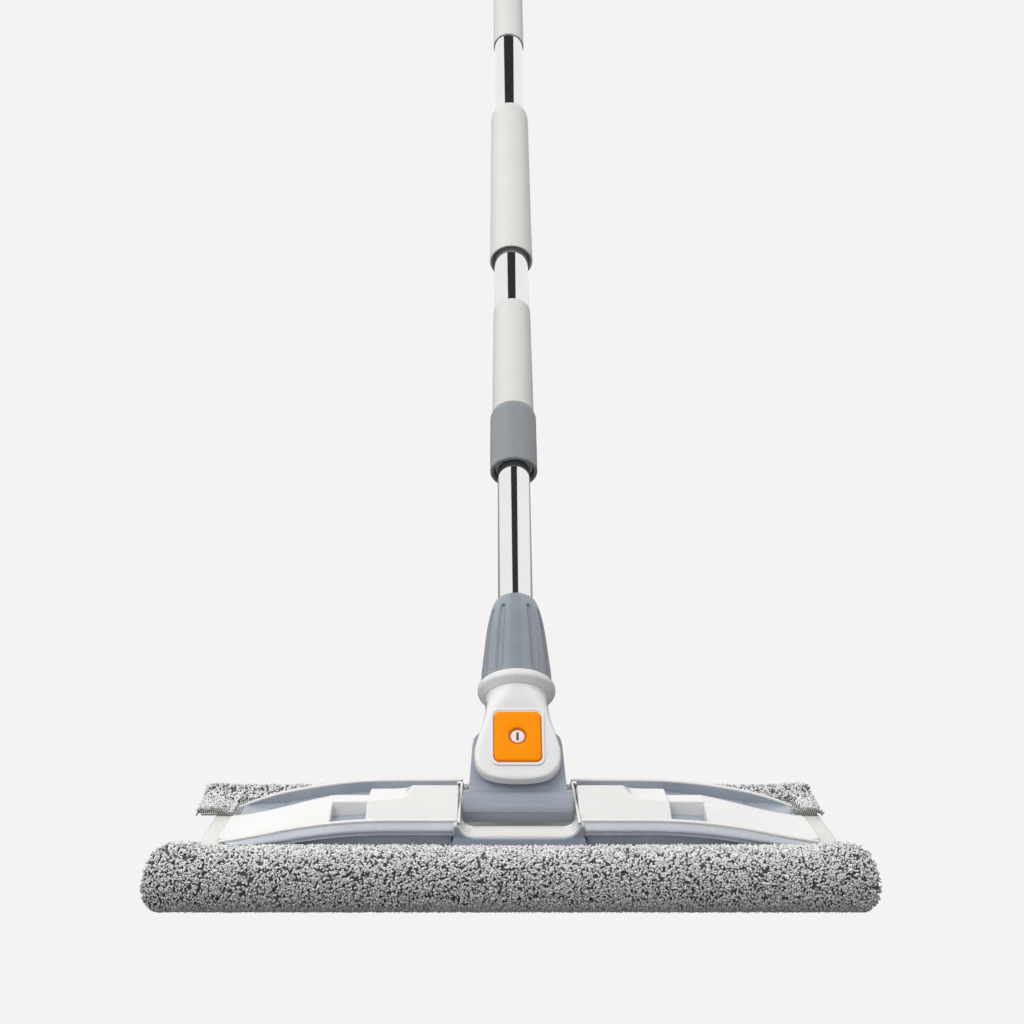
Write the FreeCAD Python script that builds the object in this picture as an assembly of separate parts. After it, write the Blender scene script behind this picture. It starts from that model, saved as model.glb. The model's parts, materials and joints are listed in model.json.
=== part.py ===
import FreeCAD, Part
import math
import os
from FreeCAD import Matrix, Placement, Rotation, Vector

# Flat mop with a telescopic pole, a universal joint and clamp wings.
# Millimetres. +Z up, the mop's long side along X, its front towards -Y.
# The origin is on the floor at the middle of the sole, below the hinge barrel.

# --- driving dimensions: pole -------------------------------------------------
POLE_LEAN = 45.0            # degrees from upright, away from the front
PIVOT_Z = 50.0              # height of the hinge barrel's axis
UPPER_TUBE_R = 14.3
LOWER_TUBE_R = 12.0
TUBE_WALL = 0.9
RUNNING_GAP = 0.1           # radial clearance of the sliding fits
BODY_GAP = 0.3              # clearance between moving bodies
SOCKET_START = 71.0         # distances along the pole, from the barrel's axis
COLLAR_START = 78.3
COLLAR_END = 84.6
CONE_START = 84.9
CONE_END = 152.5
LOWER_TUBE_START = 100.0
LOWER_TUBE_END = 660.0
LOCK_START = 270.6
LOCK_END = 329.4
UPPER_TUBE_START = 290.0
UPPER_TUBE_END = 1105.0
LOWER_SLEEVE_END = 447.6
MID_GRIP_START = 510.5
MID_GRIP_END = 724.6
TOP_GRIP_START = 846.0
CAP_END = 1142.0

# --- driving dimensions: neck and yoke -----------------------------------------
SCREW_AT = 38.6             # the roll screw's distance from the barrel's axis
NECK_HALF_DEPTH = 18.0
NECK_R = 20.4
CLEVIS_INNER = 10.6
CLEVIS_TOP = 69.0
SHIELD_END = 9.6
TONGUE_HALF = 7.0
BARREL_R = 10.0
BARREL_HALF = 33.8
AXLE_R = 3.0

# --- driving dimensions: head ---------------------------------------------------
PLATE_HALF_X = 190.5
PLATE_HALF_Y = 55.0
PLATE_TOP = 38.0
PLATE_BOTTOM = 24.0
PAD_BOTTOM = 12.0
CLOTH_HALF_X = 208.0
CLOTH_HALF_Y = 69.0
CLOTH_TOP = 43.4
REAR_ROLL_TOP = 46.0
FLAP_HALF_X = 196.0
TUB_HALF_X = 37.2
TUB_HALF_Y = 40.5
CHEEK_INNER = 34.8
CHEEK_TOP = 54.4
LIP_TOP = 46.0
POCKET_FLOOR = 35.6
SHELF_TOP = 44.5            # the step inside the tub's front wall
SHELF_REAR = -20.8
CHASSIS_HALF_X = 43.5
CHASSIS_HALF_Y = 44.8
CHASSIS_BOTTOM = 30.2
TUB_BOTTOM = 33.0

# --- driving dimensions: wings --------------------------------------------------
RIB_Y = 38.4                # middle of each rib wall
RIB_WALL = 3.0
RIB_START = 38.2
RIB_STRAIGHT_END = 145.0
RIB_TIP_X = 178.0
RIB_TIP_Y = 30.5
RIM_TOP = 54.8
RIM_FLAT_END = 75.0
RIM_ARCH_R = 345.0
RIB_HEIGHT = 9.0
RIB_LOWEST = 39.9
CLAMP_END = 145.0           # where the cloth's tucked flap ends
TIP_FLOOR_END = 168.0
RIDGE_Z = 63.5
ROOF_SLOPE = 0.52
NOTCH_START = 91.5
NOTCH_END = 113.0
WING_PIVOT_X = 40.0
WING_PIVOT_Z = 57.0
WING_PIN_R = 1.5
COVER_SKIN = 2.0


# --- helpers ----------------------------------------------------------------------
def box(x0, x1, y0, y1, z0, z1):
    return Part.makeBox(x1 - x0, y1 - y0, z1 - z0, Vector(x0, y0, z0))


def rod(radius, start, end):
    """A round bar between two points."""
    a, b = Vector(*start), Vector(*end)
    return Part.makeCylinder(radius, (b - a).Length, a, b - a)


def polygon_face(points):
    return Part.Face(Part.makePolygon([Vector(*p) for p in points + points[:1]]))


def turned(profile):
    """Revolves an (r, z) outline about the Z axis."""
    face = polygon_face([(r, 0, z) for r, z in profile])
    return face.revolve(Vector(0, 0, 0), Vector(0, 0, 1), 360)


def ring(outer, inner, z0, z1):
    return turned([(inner, z0), (outer, z0), (outer, z1), (inner, z1)])


def smooth_edge(points):
    curve = Part.BSplineCurve()
    curve.interpolate([Vector(*p) for p in points])
    return curve.toShape()


def smooth_turned(points, z_start, z_end):
    """A solid of revolution whose radius follows a smooth curve through (r, z) points."""
    outer = smooth_edge([(r, 0, z) for r, z in points])
    top = Part.makeLine(Vector(points[-1][0], 0, z_end), Vector(0, 0, z_end))
    axis = Part.makeLine(Vector(0, 0, z_end), Vector(0, 0, z_start))
    base = Part.makeLine(Vector(0, 0, z_start), Vector(points[0][0], 0, z_start))
    face = Part.Face(Part.Wire([outer, top, axis, base]))
    return face.revolve(Vector(0, 0, 0), Vector(0, 0, 1), 360)


def prism_xz(points, y0, y1):
    """Extrudes an outline in the XZ plane along Y."""
    face = polygon_face([(x, y0, z) for x, z in points])
    return face.extrude(Vector(0, y1 - y0, 0))


def prism_yz(points, x0, x1):
    face = polygon_face([(x0, y, z) for y, z in points])
    return face.extrude(Vector(x1 - x0, 0, 0))


def soft_box(x_half, y_half, z0, z1, corner):
    """A block with rounded upright corners, centred on Z."""
    solid = box(-x_half, x_half, -y_half, y_half, z0, z1)
    upright = [e for e in solid.Edges if abs(e.tangentAt(e.FirstParameter).z) > 0.9]
    return solid.makeFillet(corner, upright)


def mirrored_x(shape):
    return shape.mirror(Vector(0, 0, 0), Vector(1, 0, 0))


def mirrored_y(shape):
    return shape.mirror(Vector(0, 0, 0), Vector(0, 1, 0))


def on_pole(shape):
    """Moves a piece from the pole's own frame, with the pole along Z, to its lean."""
    placed = shape.copy()
    lean = Rotation(Vector(1, 0, 0), -POLE_LEAN)
    placed.Placement = Placement(Vector(0, 0, PIVOT_Z), lean).multiply(placed.Placement)
    return placed


def save(name, *shapes):
    solids = [s for shape in shapes for s in shape.Solids]
    shape = solids[0] if len(solids) == 1 else Part.makeCompound(solids)
    shape.exportStep("parts/" + name + ".step")


# --- pole, drawn upright in its own frame ----------------------------------------
def lower_tube():
    return ring(LOWER_TUBE_R, LOWER_TUBE_R - TUBE_WALL, LOWER_TUBE_START, LOWER_TUBE_END)


def slide_plug():
    """The nylon plug that guides the lower tube's top end inside the upper tube."""
    stem_r = LOWER_TUBE_R - TUBE_WALL
    head_r = UPPER_TUBE_R - TUBE_WALL - RUNNING_GAP
    top = LOWER_TUBE_END + 14
    return turned([
        (stem_r - 1.5, LOWER_TUBE_END - 18), (stem_r, LOWER_TUBE_END - 18),
        (stem_r, LOWER_TUBE_END), (head_r, LOWER_TUBE_END + 1), (head_r, top - 2),
        (head_r - 2, top), (stem_r - 1.5, top),
    ])


def upper_tube():
    return ring(UPPER_TUBE_R, UPPER_TUBE_R - TUBE_WALL, UPPER_TUBE_START, UPPER_TUBE_END)


def guide_bush():
    return ring(UPPER_TUBE_R - TUBE_WALL, LOWER_TUBE_R + RUNNING_GAP, UPPER_TUBE_START, 314)


def lock_collet():
    """The split clamp ring: a shell round the upper tube, with fingers on the lower one."""
    finger_r = LOWER_TUBE_R + RUNNING_GAP
    body = turned([
        (finger_r, 275), (13.8, 275), (14.8, 288), (15.4, UPPER_TUBE_START), (15.4, 326),
        (UPPER_TUBE_R, 326), (UPPER_TUBE_R, UPPER_TUBE_START), (finger_r, UPPER_TUBE_START),
    ])
    for turn in (0, 90):
        slot = box(-20, 20, -0.8, 0.8, 274, 288)
        slot.rotate(Vector(0, 0, 0), Vector(0, 0, 1), turn + 45)
        body = body.cut(slot)
    return body


def lock_sleeve():
    """The twist sleeve, open below, with a rounded shoulder."""
    outer, bore = 17.6, 15.4 + BODY_GAP
    return turned([
        (15.2, LOCK_START), (outer - 0.8, LOCK_START), (outer, LOCK_START + 0.8),
        (outer, LOCK_END - 5), (outer - 0.3, LOCK_END - 2.6), (outer - 1.0, LOCK_END - 0.9),
        (outer - 1.8, LOCK_END), (bore, LOCK_END), (bore, 282), (15.2, 281),
    ])


def lower_sleeve():
    start = LOCK_END + BODY_GAP
    return turned([
        (UPPER_TUBE_R, start), (16.0, start), (15.2, LOWER_SLEEVE_END - 1.0),
        (14.9, LOWER_SLEEVE_END), (UPPER_TUBE_R, LOWER_SLEEVE_END),
    ])


def mid_grip():
    """The moulded grip, flared and hollow at its lower end and rounded at its top."""
    return turned([
        (16.9, MID_GRIP_START), (17.9, MID_GRIP_START), (18.4, MID_GRIP_START + 0.8),
        (17.9, MID_GRIP_START + 60), (17.7, MID_GRIP_END - 9), (17.2, MID_GRIP_END - 3.5),
        (16.2, MID_GRIP_END - 0.8), (15.4, MID_GRIP_END), (UPPER_TUBE_R, MID_GRIP_END),
        (UPPER_TUBE_R, MID_GRIP_START + 9), (16.4, MID_GRIP_START + 7),
    ])


def top_grip():
    return ring(15.3, UPPER_TUBE_R, TOP_GRIP_START, UPPER_TUBE_END)


def hanging_cap():
    """The end plug, with a flat loop to hang the mop by."""
    stem = turned([
        (0, 1082), (UPPER_TUBE_R - TUBE_WALL, 1082), (UPPER_TUBE_R - TUBE_WALL, UPPER_TUBE_END),
        (15.2, UPPER_TUBE_END), (15.2, 1109), (13.5, 1113.5), (10, 1116), (0, 1116),
    ])
    loop = box(-13, 13, -4, 4, 1110, CAP_END - 13)
    loop = loop.fuse(rod(13, (0, -4, CAP_END - 13), (0, 4, CAP_END - 13)))
    hole = rod(6.5, (0, -9, CAP_END - 13), (0, 9, CAP_END - 13))
    return stem.fuse(loop).cut(hole).removeSplitter()


def tube_socket():
    """The threaded socket that takes the lower tube and is squeezed by the cone nut."""
    bore = LOWER_TUBE_R
    return turned([
        (8, SOCKET_START), (17, SOCKET_START), (17, 128), (13.6, 146), (bore, 146),
        (bore, LOWER_TUBE_START), (8, LOWER_TUBE_START),
    ])


def cone_nut():
    """The ogive nut, with sunk flutes round it in pairs."""
    profile = [(23.4, CONE_START), (22.9, 95), (22.0, 105), (21.0, 115), (20.0, 125),
               (18.6, 135), (16.9, 143), (15.4, 148), (13.2, CONE_END)]
    body = smooth_turned(profile, CONE_START, CONE_END)
    bore = turned([
        (0, CONE_START - 1), (17 + BODY_GAP, CONE_START - 1), (17 + BODY_GAP, 128.2),
        (13.6 + BODY_GAP, 146.4), (LOWER_TUBE_R + BODY_GAP, 146.4),
        (LOWER_TUBE_R + BODY_GAP, CONE_END + 1), (0, CONE_END + 1),
    ])
    body = body.cut(bore)
    flute_r = 2.6
    flute_at = ((24.7, 91), (23.5, 108), (21.9, 124), (19.9, 137), (18.6, 142))
    for k in range(4):
        for side in (-1, 1):
            turn = math.radians(90 * k + side * 30)
            path = [(r * math.cos(turn), r * math.sin(turn), z) for r, z in flute_at]
            body = body.cut(Part.makeSphere(flute_r, Vector(*path[0])))
            for a, b in zip(path, path[1:]):
                body = body.cut(rod(flute_r, a, b))
                body = body.cut(Part.makeSphere(flute_r, Vector(*b)))
    return body


def superellipse(half_x, half_y, power, z, count=32):
    """A closed curve between a circle, at power 2, and a rounded square."""
    points = []
    for k in range(count):
        turn = 2 * math.pi * (k + 0.5) / count
        c, s = math.cos(turn), math.sin(turn)
        x = half_x * math.copysign(abs(c) ** (2 / power), c)
        y = half_y * math.copysign(abs(s) ** (2 / power), s)
        points.append(Vector(x, y, z))
    curve = Part.BSplineCurve()
    curve.interpolate(points, PeriodicFlag=True)
    return Part.Wire(curve.toShape())


def shield_outline():
    """The neck's outline seen from the front: narrow at the collar, wide and round below."""
    right = [(20.4, COLLAR_START), (20.3, 67), (20.5, 60), (21.8, 51.5), (23.9, 43.3),
             (25.8, 36.3), (27.1, 29.3), (26.4, 22.0), (23.0, 15.6), (17.6, 11.8),
             (9.0, 10.0), (0, SHIELD_END)]
    points = right + [(-x, z) for x, z in reversed(right[:-1])]
    curve = smooth_edge([(x, -30, z) for x, z in points])
    top = Part.makeLine(Vector(-right[0][0], -30, COLLAR_START), Vector(right[0][0], -30, COLLAR_START))
    return Part.Face(Part.Wire([curve, top])).extrude(Vector(0, 60, 0))


def neck_blank():
    """The neck before it is split: a shield-shaped clevis that turns round at its collar."""
    stations = ((5, 30, NECK_HALF_DEPTH, 7), (30, 30, NECK_HALF_DEPTH, 7),
                (48, 26, NECK_HALF_DEPTH, 6), (58, 21.4, 18.7, 4),
                (67, NECK_R, NECK_R - 0.3, 2.4), (COLLAR_START, NECK_R, NECK_R, 2))
    wires = [superellipse(hx, hy, power, z) for z, hx, hy, power in stations]
    neck = Part.makeLoft(wires, True, True).common(shield_outline())
    bead = 3.15
    middle = (COLLAR_START + COLLAR_END) / 2
    collar = ring(25.5 - bead, 0.001, COLLAR_START, COLLAR_END)
    collar = collar.fuse(Part.makeTorus(25.5 - bead, bead, Vector(0, 0, middle), Vector(0, 0, 1)))
    neck = neck.fuse(collar)
    clevis = box(-60, 60, -CLEVIS_INNER, CLEVIS_INNER, 0, CLEVIS_TOP)
    bore = Part.makeCylinder(17, COLLAR_END - SOCKET_START + 1, Vector(0, 0, SOCKET_START))
    return neck.cut(clevis).cut(bore).removeSplitter()


def cap_block(half_x, half_z, corner, y0, y1):
    """A rounded rectangle on the front face, centred on the roll screw."""
    block = box(-half_x, half_x, y0, y1, SCREW_AT - half_z, SCREW_AT + half_z)
    across = [e for e in block.Edges if abs(e.tangentAt(e.FirstParameter).y) > 0.9]
    return block.makeFillet(corner, across)


def neck_shells():
    """The front and the rear half of the neck, with the screw's seats."""
    blank = neck_blank()
    front_half = box(-40, 40, -40, 0, 0, 100)
    rear_half = box(-40, 40, 0, 40, 0, 100)
    front = blank.common(front_half)
    front = front.fuse(cap_block(16.9, 20.2, 5, -18.9, -17.0))
    front = front.cut(cap_block(15.0, 18.0, 4, -20, -16.4))
    front = front.cut(rod(5.2, (0, -20, SCREW_AT), (0, -14.6, SCREW_AT)))
    front = front.cut(rod(3.0, (0, -20, SCREW_AT), (0, 0, SCREW_AT)))
    rear = blank.common(rear_half)
    rear = rear.cut(rod(3.0, (0, 0, SCREW_AT), (0, 30, SCREW_AT)))
    rear = rear.cut(hexagon(5.0, 13.6, 30))
    return front.removeSplitter(), rear.removeSplitter()


def hexagon(across_half, y0, y1):
    corner = across_half / math.cos(math.pi / 6)
    turns = [math.pi / 3 * k for k in range(6)]
    return prism_xz([(corner * math.cos(t), SCREW_AT + corner * math.sin(t)) for t in turns], y0, y1)


def accent_cap():
    cap = cap_block(15.0, 18.0, 4, -18.7, -16.4)
    return cap.cut(rod(6.2, (0, -20, SCREW_AT), (0, -16, SCREW_AT)))


def pivot_screw():
    """The roll axis screw: a pan head with a cross recess."""
    head = rod(4.9, (0, -17.6, SCREW_AT), (0, -14.6, SCREW_AT))
    head = head.makeFillet(1.2, [e for e in head.Edges if e.BoundBox.YMax < -17.5])
    shank = rod(3.0, (0, -14.6, SCREW_AT), (0, 17.2, SCREW_AT))
    cross = box(-3.0, 3.0, -18, -16.2, SCREW_AT - 0.55, SCREW_AT + 0.55)
    cross = cross.fuse(box(-0.55, 0.55, -18, -16.2, SCREW_AT - 3.0, SCREW_AT + 3.0))
    return head.fuse(shank).cut(cross).removeSplitter()


def pivot_nut():
    return hexagon(5.0, 13.6, 17.6).cut(rod(3.0, (0, 10, SCREW_AT), (0, 20, SCREW_AT)))


def pivot_washers():
    """The two spacers that centre the tongue between the neck's cheeks."""
    inner = TONGUE_HALF + RUNNING_GAP
    front = rod(9.5, (0, -CLEVIS_INNER, SCREW_AT), (0, -inner, SCREW_AT))
    rear = rod(9.5, (0, inner, SCREW_AT), (0, CLEVIS_INNER, SCREW_AT))
    hole = rod(3.0, (0, -20, SCREW_AT), (0, 20, SCREW_AT))
    return front.cut(hole), rear.cut(hole)


def yoke():
    """The tongue and the hinge barrel, one moulding."""
    tongue = prism_xz([(-30.7, 2), (30.7, 2), (27.9, 48), (-27.9, 48)], -TONGUE_HALF, TONGUE_HALF)
    across = [e for e in tongue.Edges if abs(e.tangentAt(e.FirstParameter).y) > 0.9]
    top = [e for e in across if e.BoundBox.ZMin > 40]
    tongue = tongue.makeFillet(7, top)
    barrel = rod(BARREL_R, (-BARREL_HALF, 0, 0), (BARREL_HALF, 0, 0))
    ends = [e for e in barrel.Edges if e.Curve.TypeId == "Part::GeomCircle"]
    body = tongue.fuse(barrel.makeChamfer(0.5, ends))
    body = body.cut(rod(5.0, (-40, 0, 0), (40, 0, 0)))
    return body.cut(rod(5.5, (0, -10, SCREW_AT), (0, 10, SCREW_AT))).removeSplitter()


def axle_bushes():
    """A flanged nylon bush in each end of the barrel."""
    def bush(side):
        sleeve = rod(5.0, (side * 18, 0, 0), (side * BARREL_HALF, 0, 0))
        flange = rod(7.5, (side * BARREL_HALF, 0, 0), (side * (BARREL_HALF + 0.7), 0, 0))
        return sleeve.fuse(flange).cut(rod(AXLE_R + 0.05, (-40, 0, 0), (40, 0, 0))).removeSplitter()
    return bush(-1), bush(1)


def roll_bush():
    bush = rod(5.5, (0, -TONGUE_HALF, SCREW_AT), (0, TONGUE_HALF, SCREW_AT))
    return bush.cut(rod(3.05, (0, -10, SCREW_AT), (0, 10, SCREW_AT)))


# --- head ---------------------------------------------------------------------------
def axle_pin():
    return rod(AXLE_R, (-TUB_HALF_X, 0, PIVOT_Z), (TUB_HALF_X, 0, PIVOT_Z))


def base_plate():
    """The ribbed plate, with a well in its middle for the chassis."""
    plate = soft_box(PLATE_HALF_X, PLATE_HALF_Y, PLATE_BOTTOM, PLATE_TOP, 9)
    plate = plate.makeFillet(1.6, [e for e in plate.Edges if e.BoundBox.ZMin > PLATE_TOP - 0.1])
    well = box(-CHASSIS_HALF_X, CHASSIS_HALF_X, -CHASSIS_HALF_Y, CHASSIS_HALF_Y, CHASSIS_BOTTOM, 60)
    plate = plate.cut(well)
    bays = 3
    bay_x = (PLATE_HALF_X - CHASSIS_HALF_X - 3) / bays
    bay_y = PLATE_HALF_Y - 2.5
    for k in range(bays):
        x0 = CHASSIS_HALF_X + 3 + bay_x * k
        for y0, y1 in ((-bay_y, -1.2), (1.2, bay_y)):
            bay = box(x0, x0 + bay_x - 2.4, y0, y1, PLATE_BOTTOM - 1, PLATE_TOP - 2.6)
            plate = plate.cut(bay).cut(mirrored_x(bay))
    for x, y in screw_places():
        plate = plate.cut(rod(2.0, (x, y, 0), (x, y, 40))).cut(rod(4.2, (x, y, 0), (x, y, 27)))
    return plate


def screw_places():
    return [(sx * 32, sy * 28) for sx in (-1, 1) for sy in (-1, 1)]


def base_screws():
    """Four screws from below that hold the chassis and the tub down."""
    screws = []
    for x, y in screw_places():
        head = rod(4.0, (x, y, PLATE_BOTTOM + 0.3), (x, y, 27))
        screws.append(head.fuse(rod(2.0, (x, y, 27), (x, y, CHASSIS_BOTTOM + 2.4))).removeSplitter())
    return screws


def lip_cut(drop):
    """The U-shaped dip in the front and rear walls, lower by drop than the lip."""
    top = 70
    bottom = LIP_TOP - drop
    cut = box(-CHEEK_INNER - drop, CHEEK_INNER + drop, -70, 70, bottom, top)
    low = [e for e in cut.Edges
           if abs(e.tangentAt(e.FirstParameter).y) > 0.9 and e.BoundBox.ZMax < bottom + 1]
    return cut.makeFillet(7.5, low)


def centre_tub():
    """The white tub under the barrel: two cheeks that carry the axle, and a dipped lip."""
    tub = soft_box(TUB_HALF_X, TUB_HALF_Y, TUB_BOTTOM, CHEEK_TOP, 2)
    low = LIP_TOP - 0.6
    slope = prism_yz([(-60, low), (-33, low), (-16.6, CHEEK_TOP), (-16.6, 80), (-60, 80)], -60, 60)
    tub = tub.cut(slope).cut(mirrored_y(slope))
    inner = box(-CHEEK_INNER, CHEEK_INNER, SHELF_REAR, 38.6, POCKET_FLOOR, 80)
    inner = inner.fuse(box(-CHEEK_INNER, CHEEK_INNER, -38.6, 0, SHELF_TOP, 80))
    flange = box(-CHEEK_INNER, CHEEK_INNER, -41.6, 41.6, LIP_TOP - 1.3, LIP_TOP)
    flange = flange.cut(box(-80, 80, -38.6, 38.6, 0, 80)).common(lip_cut(1.3))
    tub = tub.cut(inner).cut(lip_cut(0)).fuse(flange)
    return tub.cut(rod(AXLE_R, (-60, 0, PIVOT_Z), (60, 0, PIVOT_Z))).removeSplitter()


def chassis():
    """The grey saddle round the tub, with a flared skirt in front and behind and the
    posts that the wings hinge on."""
    floor = box(-CHASSIS_HALF_X, CHASSIS_HALF_X, -CHASSIS_HALF_Y, CHASSIS_HALF_Y,
                CHASSIS_BOTTOM, TUB_BOTTOM)
    side = [(-TUB_HALF_Y, 31), (-44.8, 31), (-44.8, PLATE_TOP), (-45.9, PLATE_TOP + 0.5),
            (-45.4, 40.5), (-43.6, 43.6), (-42.4, 45.6), (-TUB_HALF_Y, 46)]
    front = prism_yz(side, -39.6, 39.6)
    ears = prism_xz([(-36, 31), (36, 31), (38.9, 39), (39.4, 41.5), (38.2, 46), (-38.2, 46),
                     (-39.4, 41.5), (-38.9, 39)], -60, -30)
    front = front.common(ears).cut(lip_cut(1.4))
    foot = box(-CHASSIS_HALF_X, CHASSIS_HALF_X, -44.8, -TUB_HALF_Y, CHASSIS_BOTTOM, PLATE_TOP)
    front = front.fuse(foot)
    post = box(38.6, CHASSIS_HALF_X - 0.4, -3.8, 3.8, CHASSIS_BOTTOM, 55)
    post = post.fuse(rod(2.3, (WING_PIVOT_X, -3.8, WING_PIVOT_Z), (WING_PIVOT_X, 3.8, WING_PIVOT_Z)))
    post = post.fuse(box(39.2, 41.2, -3.8, 3.8, 54, WING_PIVOT_Z))
    post = post.cut(rod(WING_PIN_R, (WING_PIVOT_X, -9, WING_PIVOT_Z), (WING_PIVOT_X, 9, WING_PIVOT_Z)))
    body = floor.fuse([front, mirrored_y(front), post, mirrored_x(post)])
    for x, y in screw_places():
        body = body.cut(rod(2.0, (x, y, 0), (x, y, CHASSIS_BOTTOM + 2.4)))
    return body.removeSplitter()


def wing_pins():
    def pin(side):
        x = side * WING_PIVOT_X
        return rod(WING_PIN_R, (x, -6.6, WING_PIVOT_Z), (x, 6.6, WING_PIVOT_Z))
    return pin(-1), pin(1)


def wing_latches():
    """A sprung hook near each end of the plate, which holds the closed wing down."""
    hook = prism_xz([(147, PLATE_TOP), (151, PLATE_TOP), (151, 40.4), (152, 40.9),
                     (151, 41.8), (148.5, 41.8), (148, PLATE_TOP + 1)], -5, 5)
    return mirrored_x(hook), hook


def sponge_pad():
    return soft_box(PLATE_HALF_X - 3, PLATE_HALF_Y - 3, PAD_BOTTOM, PLATE_BOTTOM, 9)


def roll_outline(top):
    """Section of the cloth's roll along the front edge, from the sole up and over the plate."""
    outer = PLATE_HALF_Y + 0.4
    return [(-44, 0), (-50, 3.2), (-57, 6.6), (-63, 9.6), (-66.5, 13.5), (-68.5, 19),
            (-CLOTH_HALF_Y, 26), (-68.2, 32.5), (-66, 37.5), (-61, top - 1.4), (-55, top),
            (-48, top - 2.0), (-47.6, PLATE_TOP + 0.2), (-outer, PLATE_TOP + 0.2),
            (-outer, PAD_BOTTOM - 0.2), (-44, PAD_BOTTOM - 0.2)]


def mop_cloth():
    """The pile cloth, wrapped round the long edges of the plate, its flaps on top."""
    rear_x = CLOTH_HALF_X - 10
    lower = polygon_face([(-CLOTH_HALF_X, -44, 0), (CLOTH_HALF_X, -44, 0), (rear_x, 44, 0),
                          (-rear_x, 44, 0)]).extrude(Vector(0, 0, PAD_BOTTOM - 0.2))
    roll = prism_yz(roll_outline(CLOTH_TOP), -CLOTH_HALF_X, CLOTH_HALF_X)
    ends = [e for e in roll.Edges if e.Length < 18 and abs(abs(e.BoundBox.XMax) - CLOTH_HALF_X) < 0.1
            and e.BoundBox.YMax < -55.9 and e.BoundBox.XLength < 0.1]
    roll = roll.makeChamfer(2.5, ends)
    rear_roll = mirrored_y(prism_yz(roll_outline(REAR_ROLL_TOP), -rear_x, rear_x))
    flap = box(-FLAP_HALF_X, FLAP_HALF_X, 41, 50, PLATE_TOP + 0.2, CLOTH_TOP - 1.8)
    ears = box(181.4, FLAP_HALF_X, 18, 41, PLATE_TOP + 0.2, CLOTH_TOP - 1.8)
    rear_tongue = box(46, CLAMP_END - 1.5, 18, 41, PLATE_TOP + 0.1, 39.6)
    front_tongue = box(46, CLAMP_END - 1.5, -48, -27, PLATE_TOP + 0.1, 39.6)
    flaps = [flap, ears, mirrored_x(ears), rear_tongue, mirrored_x(rear_tongue),
             front_tongue, mirrored_x(front_tongue)]
    cloth = lower.fuse([roll, rear_roll] + flaps)
    notch = box(-45.5, 45.5, -47.4, 47.4, PLATE_TOP - 1, 60)
    return cloth.cut(notch).removeSplitter()


# --- wings, drawn for the +X side ------------------------------------------------------
def rim_height(x):
    """Height of the rim's top: flat near the middle, then an arch down to the tip."""
    along = max(0.0, x - RIM_FLAT_END)
    return RIM_TOP - RIM_ARCH_R + math.sqrt(RIM_ARCH_R ** 2 - along ** 2)


def rib_bottom(x):
    """Height of a rib's lower edge: above the cloth's flap, then down to the plate."""
    lowest = RIB_LOWEST if x <= CLAMP_END else PLATE_TOP + 0.4
    return max(lowest, rim_height(x) - RIB_HEIGHT)


def arch_band(low, high, x0, x1, half_y, steps=20):
    """The slab between two heights that follow the arch, across the wing."""
    xs = [x0 + (x1 - x0) * k / steps for k in range(steps + 1)]
    upper = [(x, high(x)) for x in xs]
    under = [(x, min(low(x), high(x) - 0.2)) for x in reversed(xs)]
    return prism_xz(upper + under, -half_y, half_y)


def rib_strip(wall):
    """Plan of the rear rib, as a tall curved strip that bends in towards its tip."""
    def side(offset):
        straight = Vector(RIB_START, RIB_Y + offset, 0), Vector(RIB_STRAIGHT_END, RIB_Y + offset, 0)
        bend = RIB_TIP_X - RIB_STRAIGHT_END
        middle = Vector(RIB_STRAIGHT_END + 0.58 * bend, RIB_Y + offset - 0.30 * (RIB_Y - RIB_TIP_Y), 0)
        tip = Vector(RIB_TIP_X, RIB_TIP_Y + 0.6 * offset, 0)
        return straight, middle, tip
    (a0, a1), am, at = side(wall / 2)
    (b0, b1), bm, bt = side(-wall / 2)
    edges = [Part.makeLine(a0, a1), Part.Arc(a1, am, at).toShape(), Part.makeLine(at, bt),
             Part.Arc(bt, bm, b1).toShape(), Part.makeLine(b1, b0), Part.makeLine(b0, a0)]
    return Part.Face(Part.Wire(edges)).extrude(Vector(0, 0, 80))


def wing_ribs(wall, low, high):
    band = arch_band(low, high, RIB_START - 1, RIB_TIP_X + 1, 60)
    rear = rib_strip(wall).common(band).cut(box(0, 200, 0, 60, 0, PLATE_TOP + 0.4))
    return rear, mirrored_y(rear)


def wing_frame():
    """The grey frame: two rib walls and the floor between them."""
    rear, front = wing_ribs(RIB_WALL, rib_bottom, lambda x: rim_height(x) - 1.6)
    inner = RIB_Y - RIB_WALL / 2
    floor = arch_band(rib_bottom, lambda x: rib_bottom(x) + 1.6, 44.5, RIB_STRAIGHT_END, inner + 0.5)
    skirt = arch_band(lambda x: RIB_LOWEST, lambda x: max(rib_bottom(x) + 0.4, RIB_LOWEST + 0.6),
                      39.6, RIB_STRAIGHT_END - 6, RIB_Y + 0.6)
    skirt = skirt.cut(box(0, 200, 1.6 - RIB_Y, RIB_Y - 1.6, 0, 80))
    plan = [(144, -37.2), (164, -35), (TIP_FLOOR_END, -33.4),
            (TIP_FLOOR_END, 33.4), (164, 35), (144, 37.2)]
    tip_floor = polygon_face([(x, y, PLATE_TOP + 0.4) for x, y in plan]).extrude(Vector(0, 0, 1.7))
    frame = floor.fuse([rear, front, skirt, tip_floor])
    return frame.cut(box(RIB_STRAIGHT_END - 2, 160, -9, 9, 30, 60)).removeSplitter()


def wing_rims():
    """The white trim along the top of each rib."""
    return wing_ribs(RIB_WALL + 0.4, lambda x: rim_height(x) - 1.6, rim_height)


def roof_section(x, top, fold, eave, low, bottom):
    """A cross-section of the cover: a flat top between two slopes."""
    points = [(x, -eave, bottom), (x, -eave, low), (x, -fold, top), (x, fold, top),
              (x, eave, low), (x, eave, bottom)]
    return Part.makePolygon([Vector(*p) for p in points + points[:1]])


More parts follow.
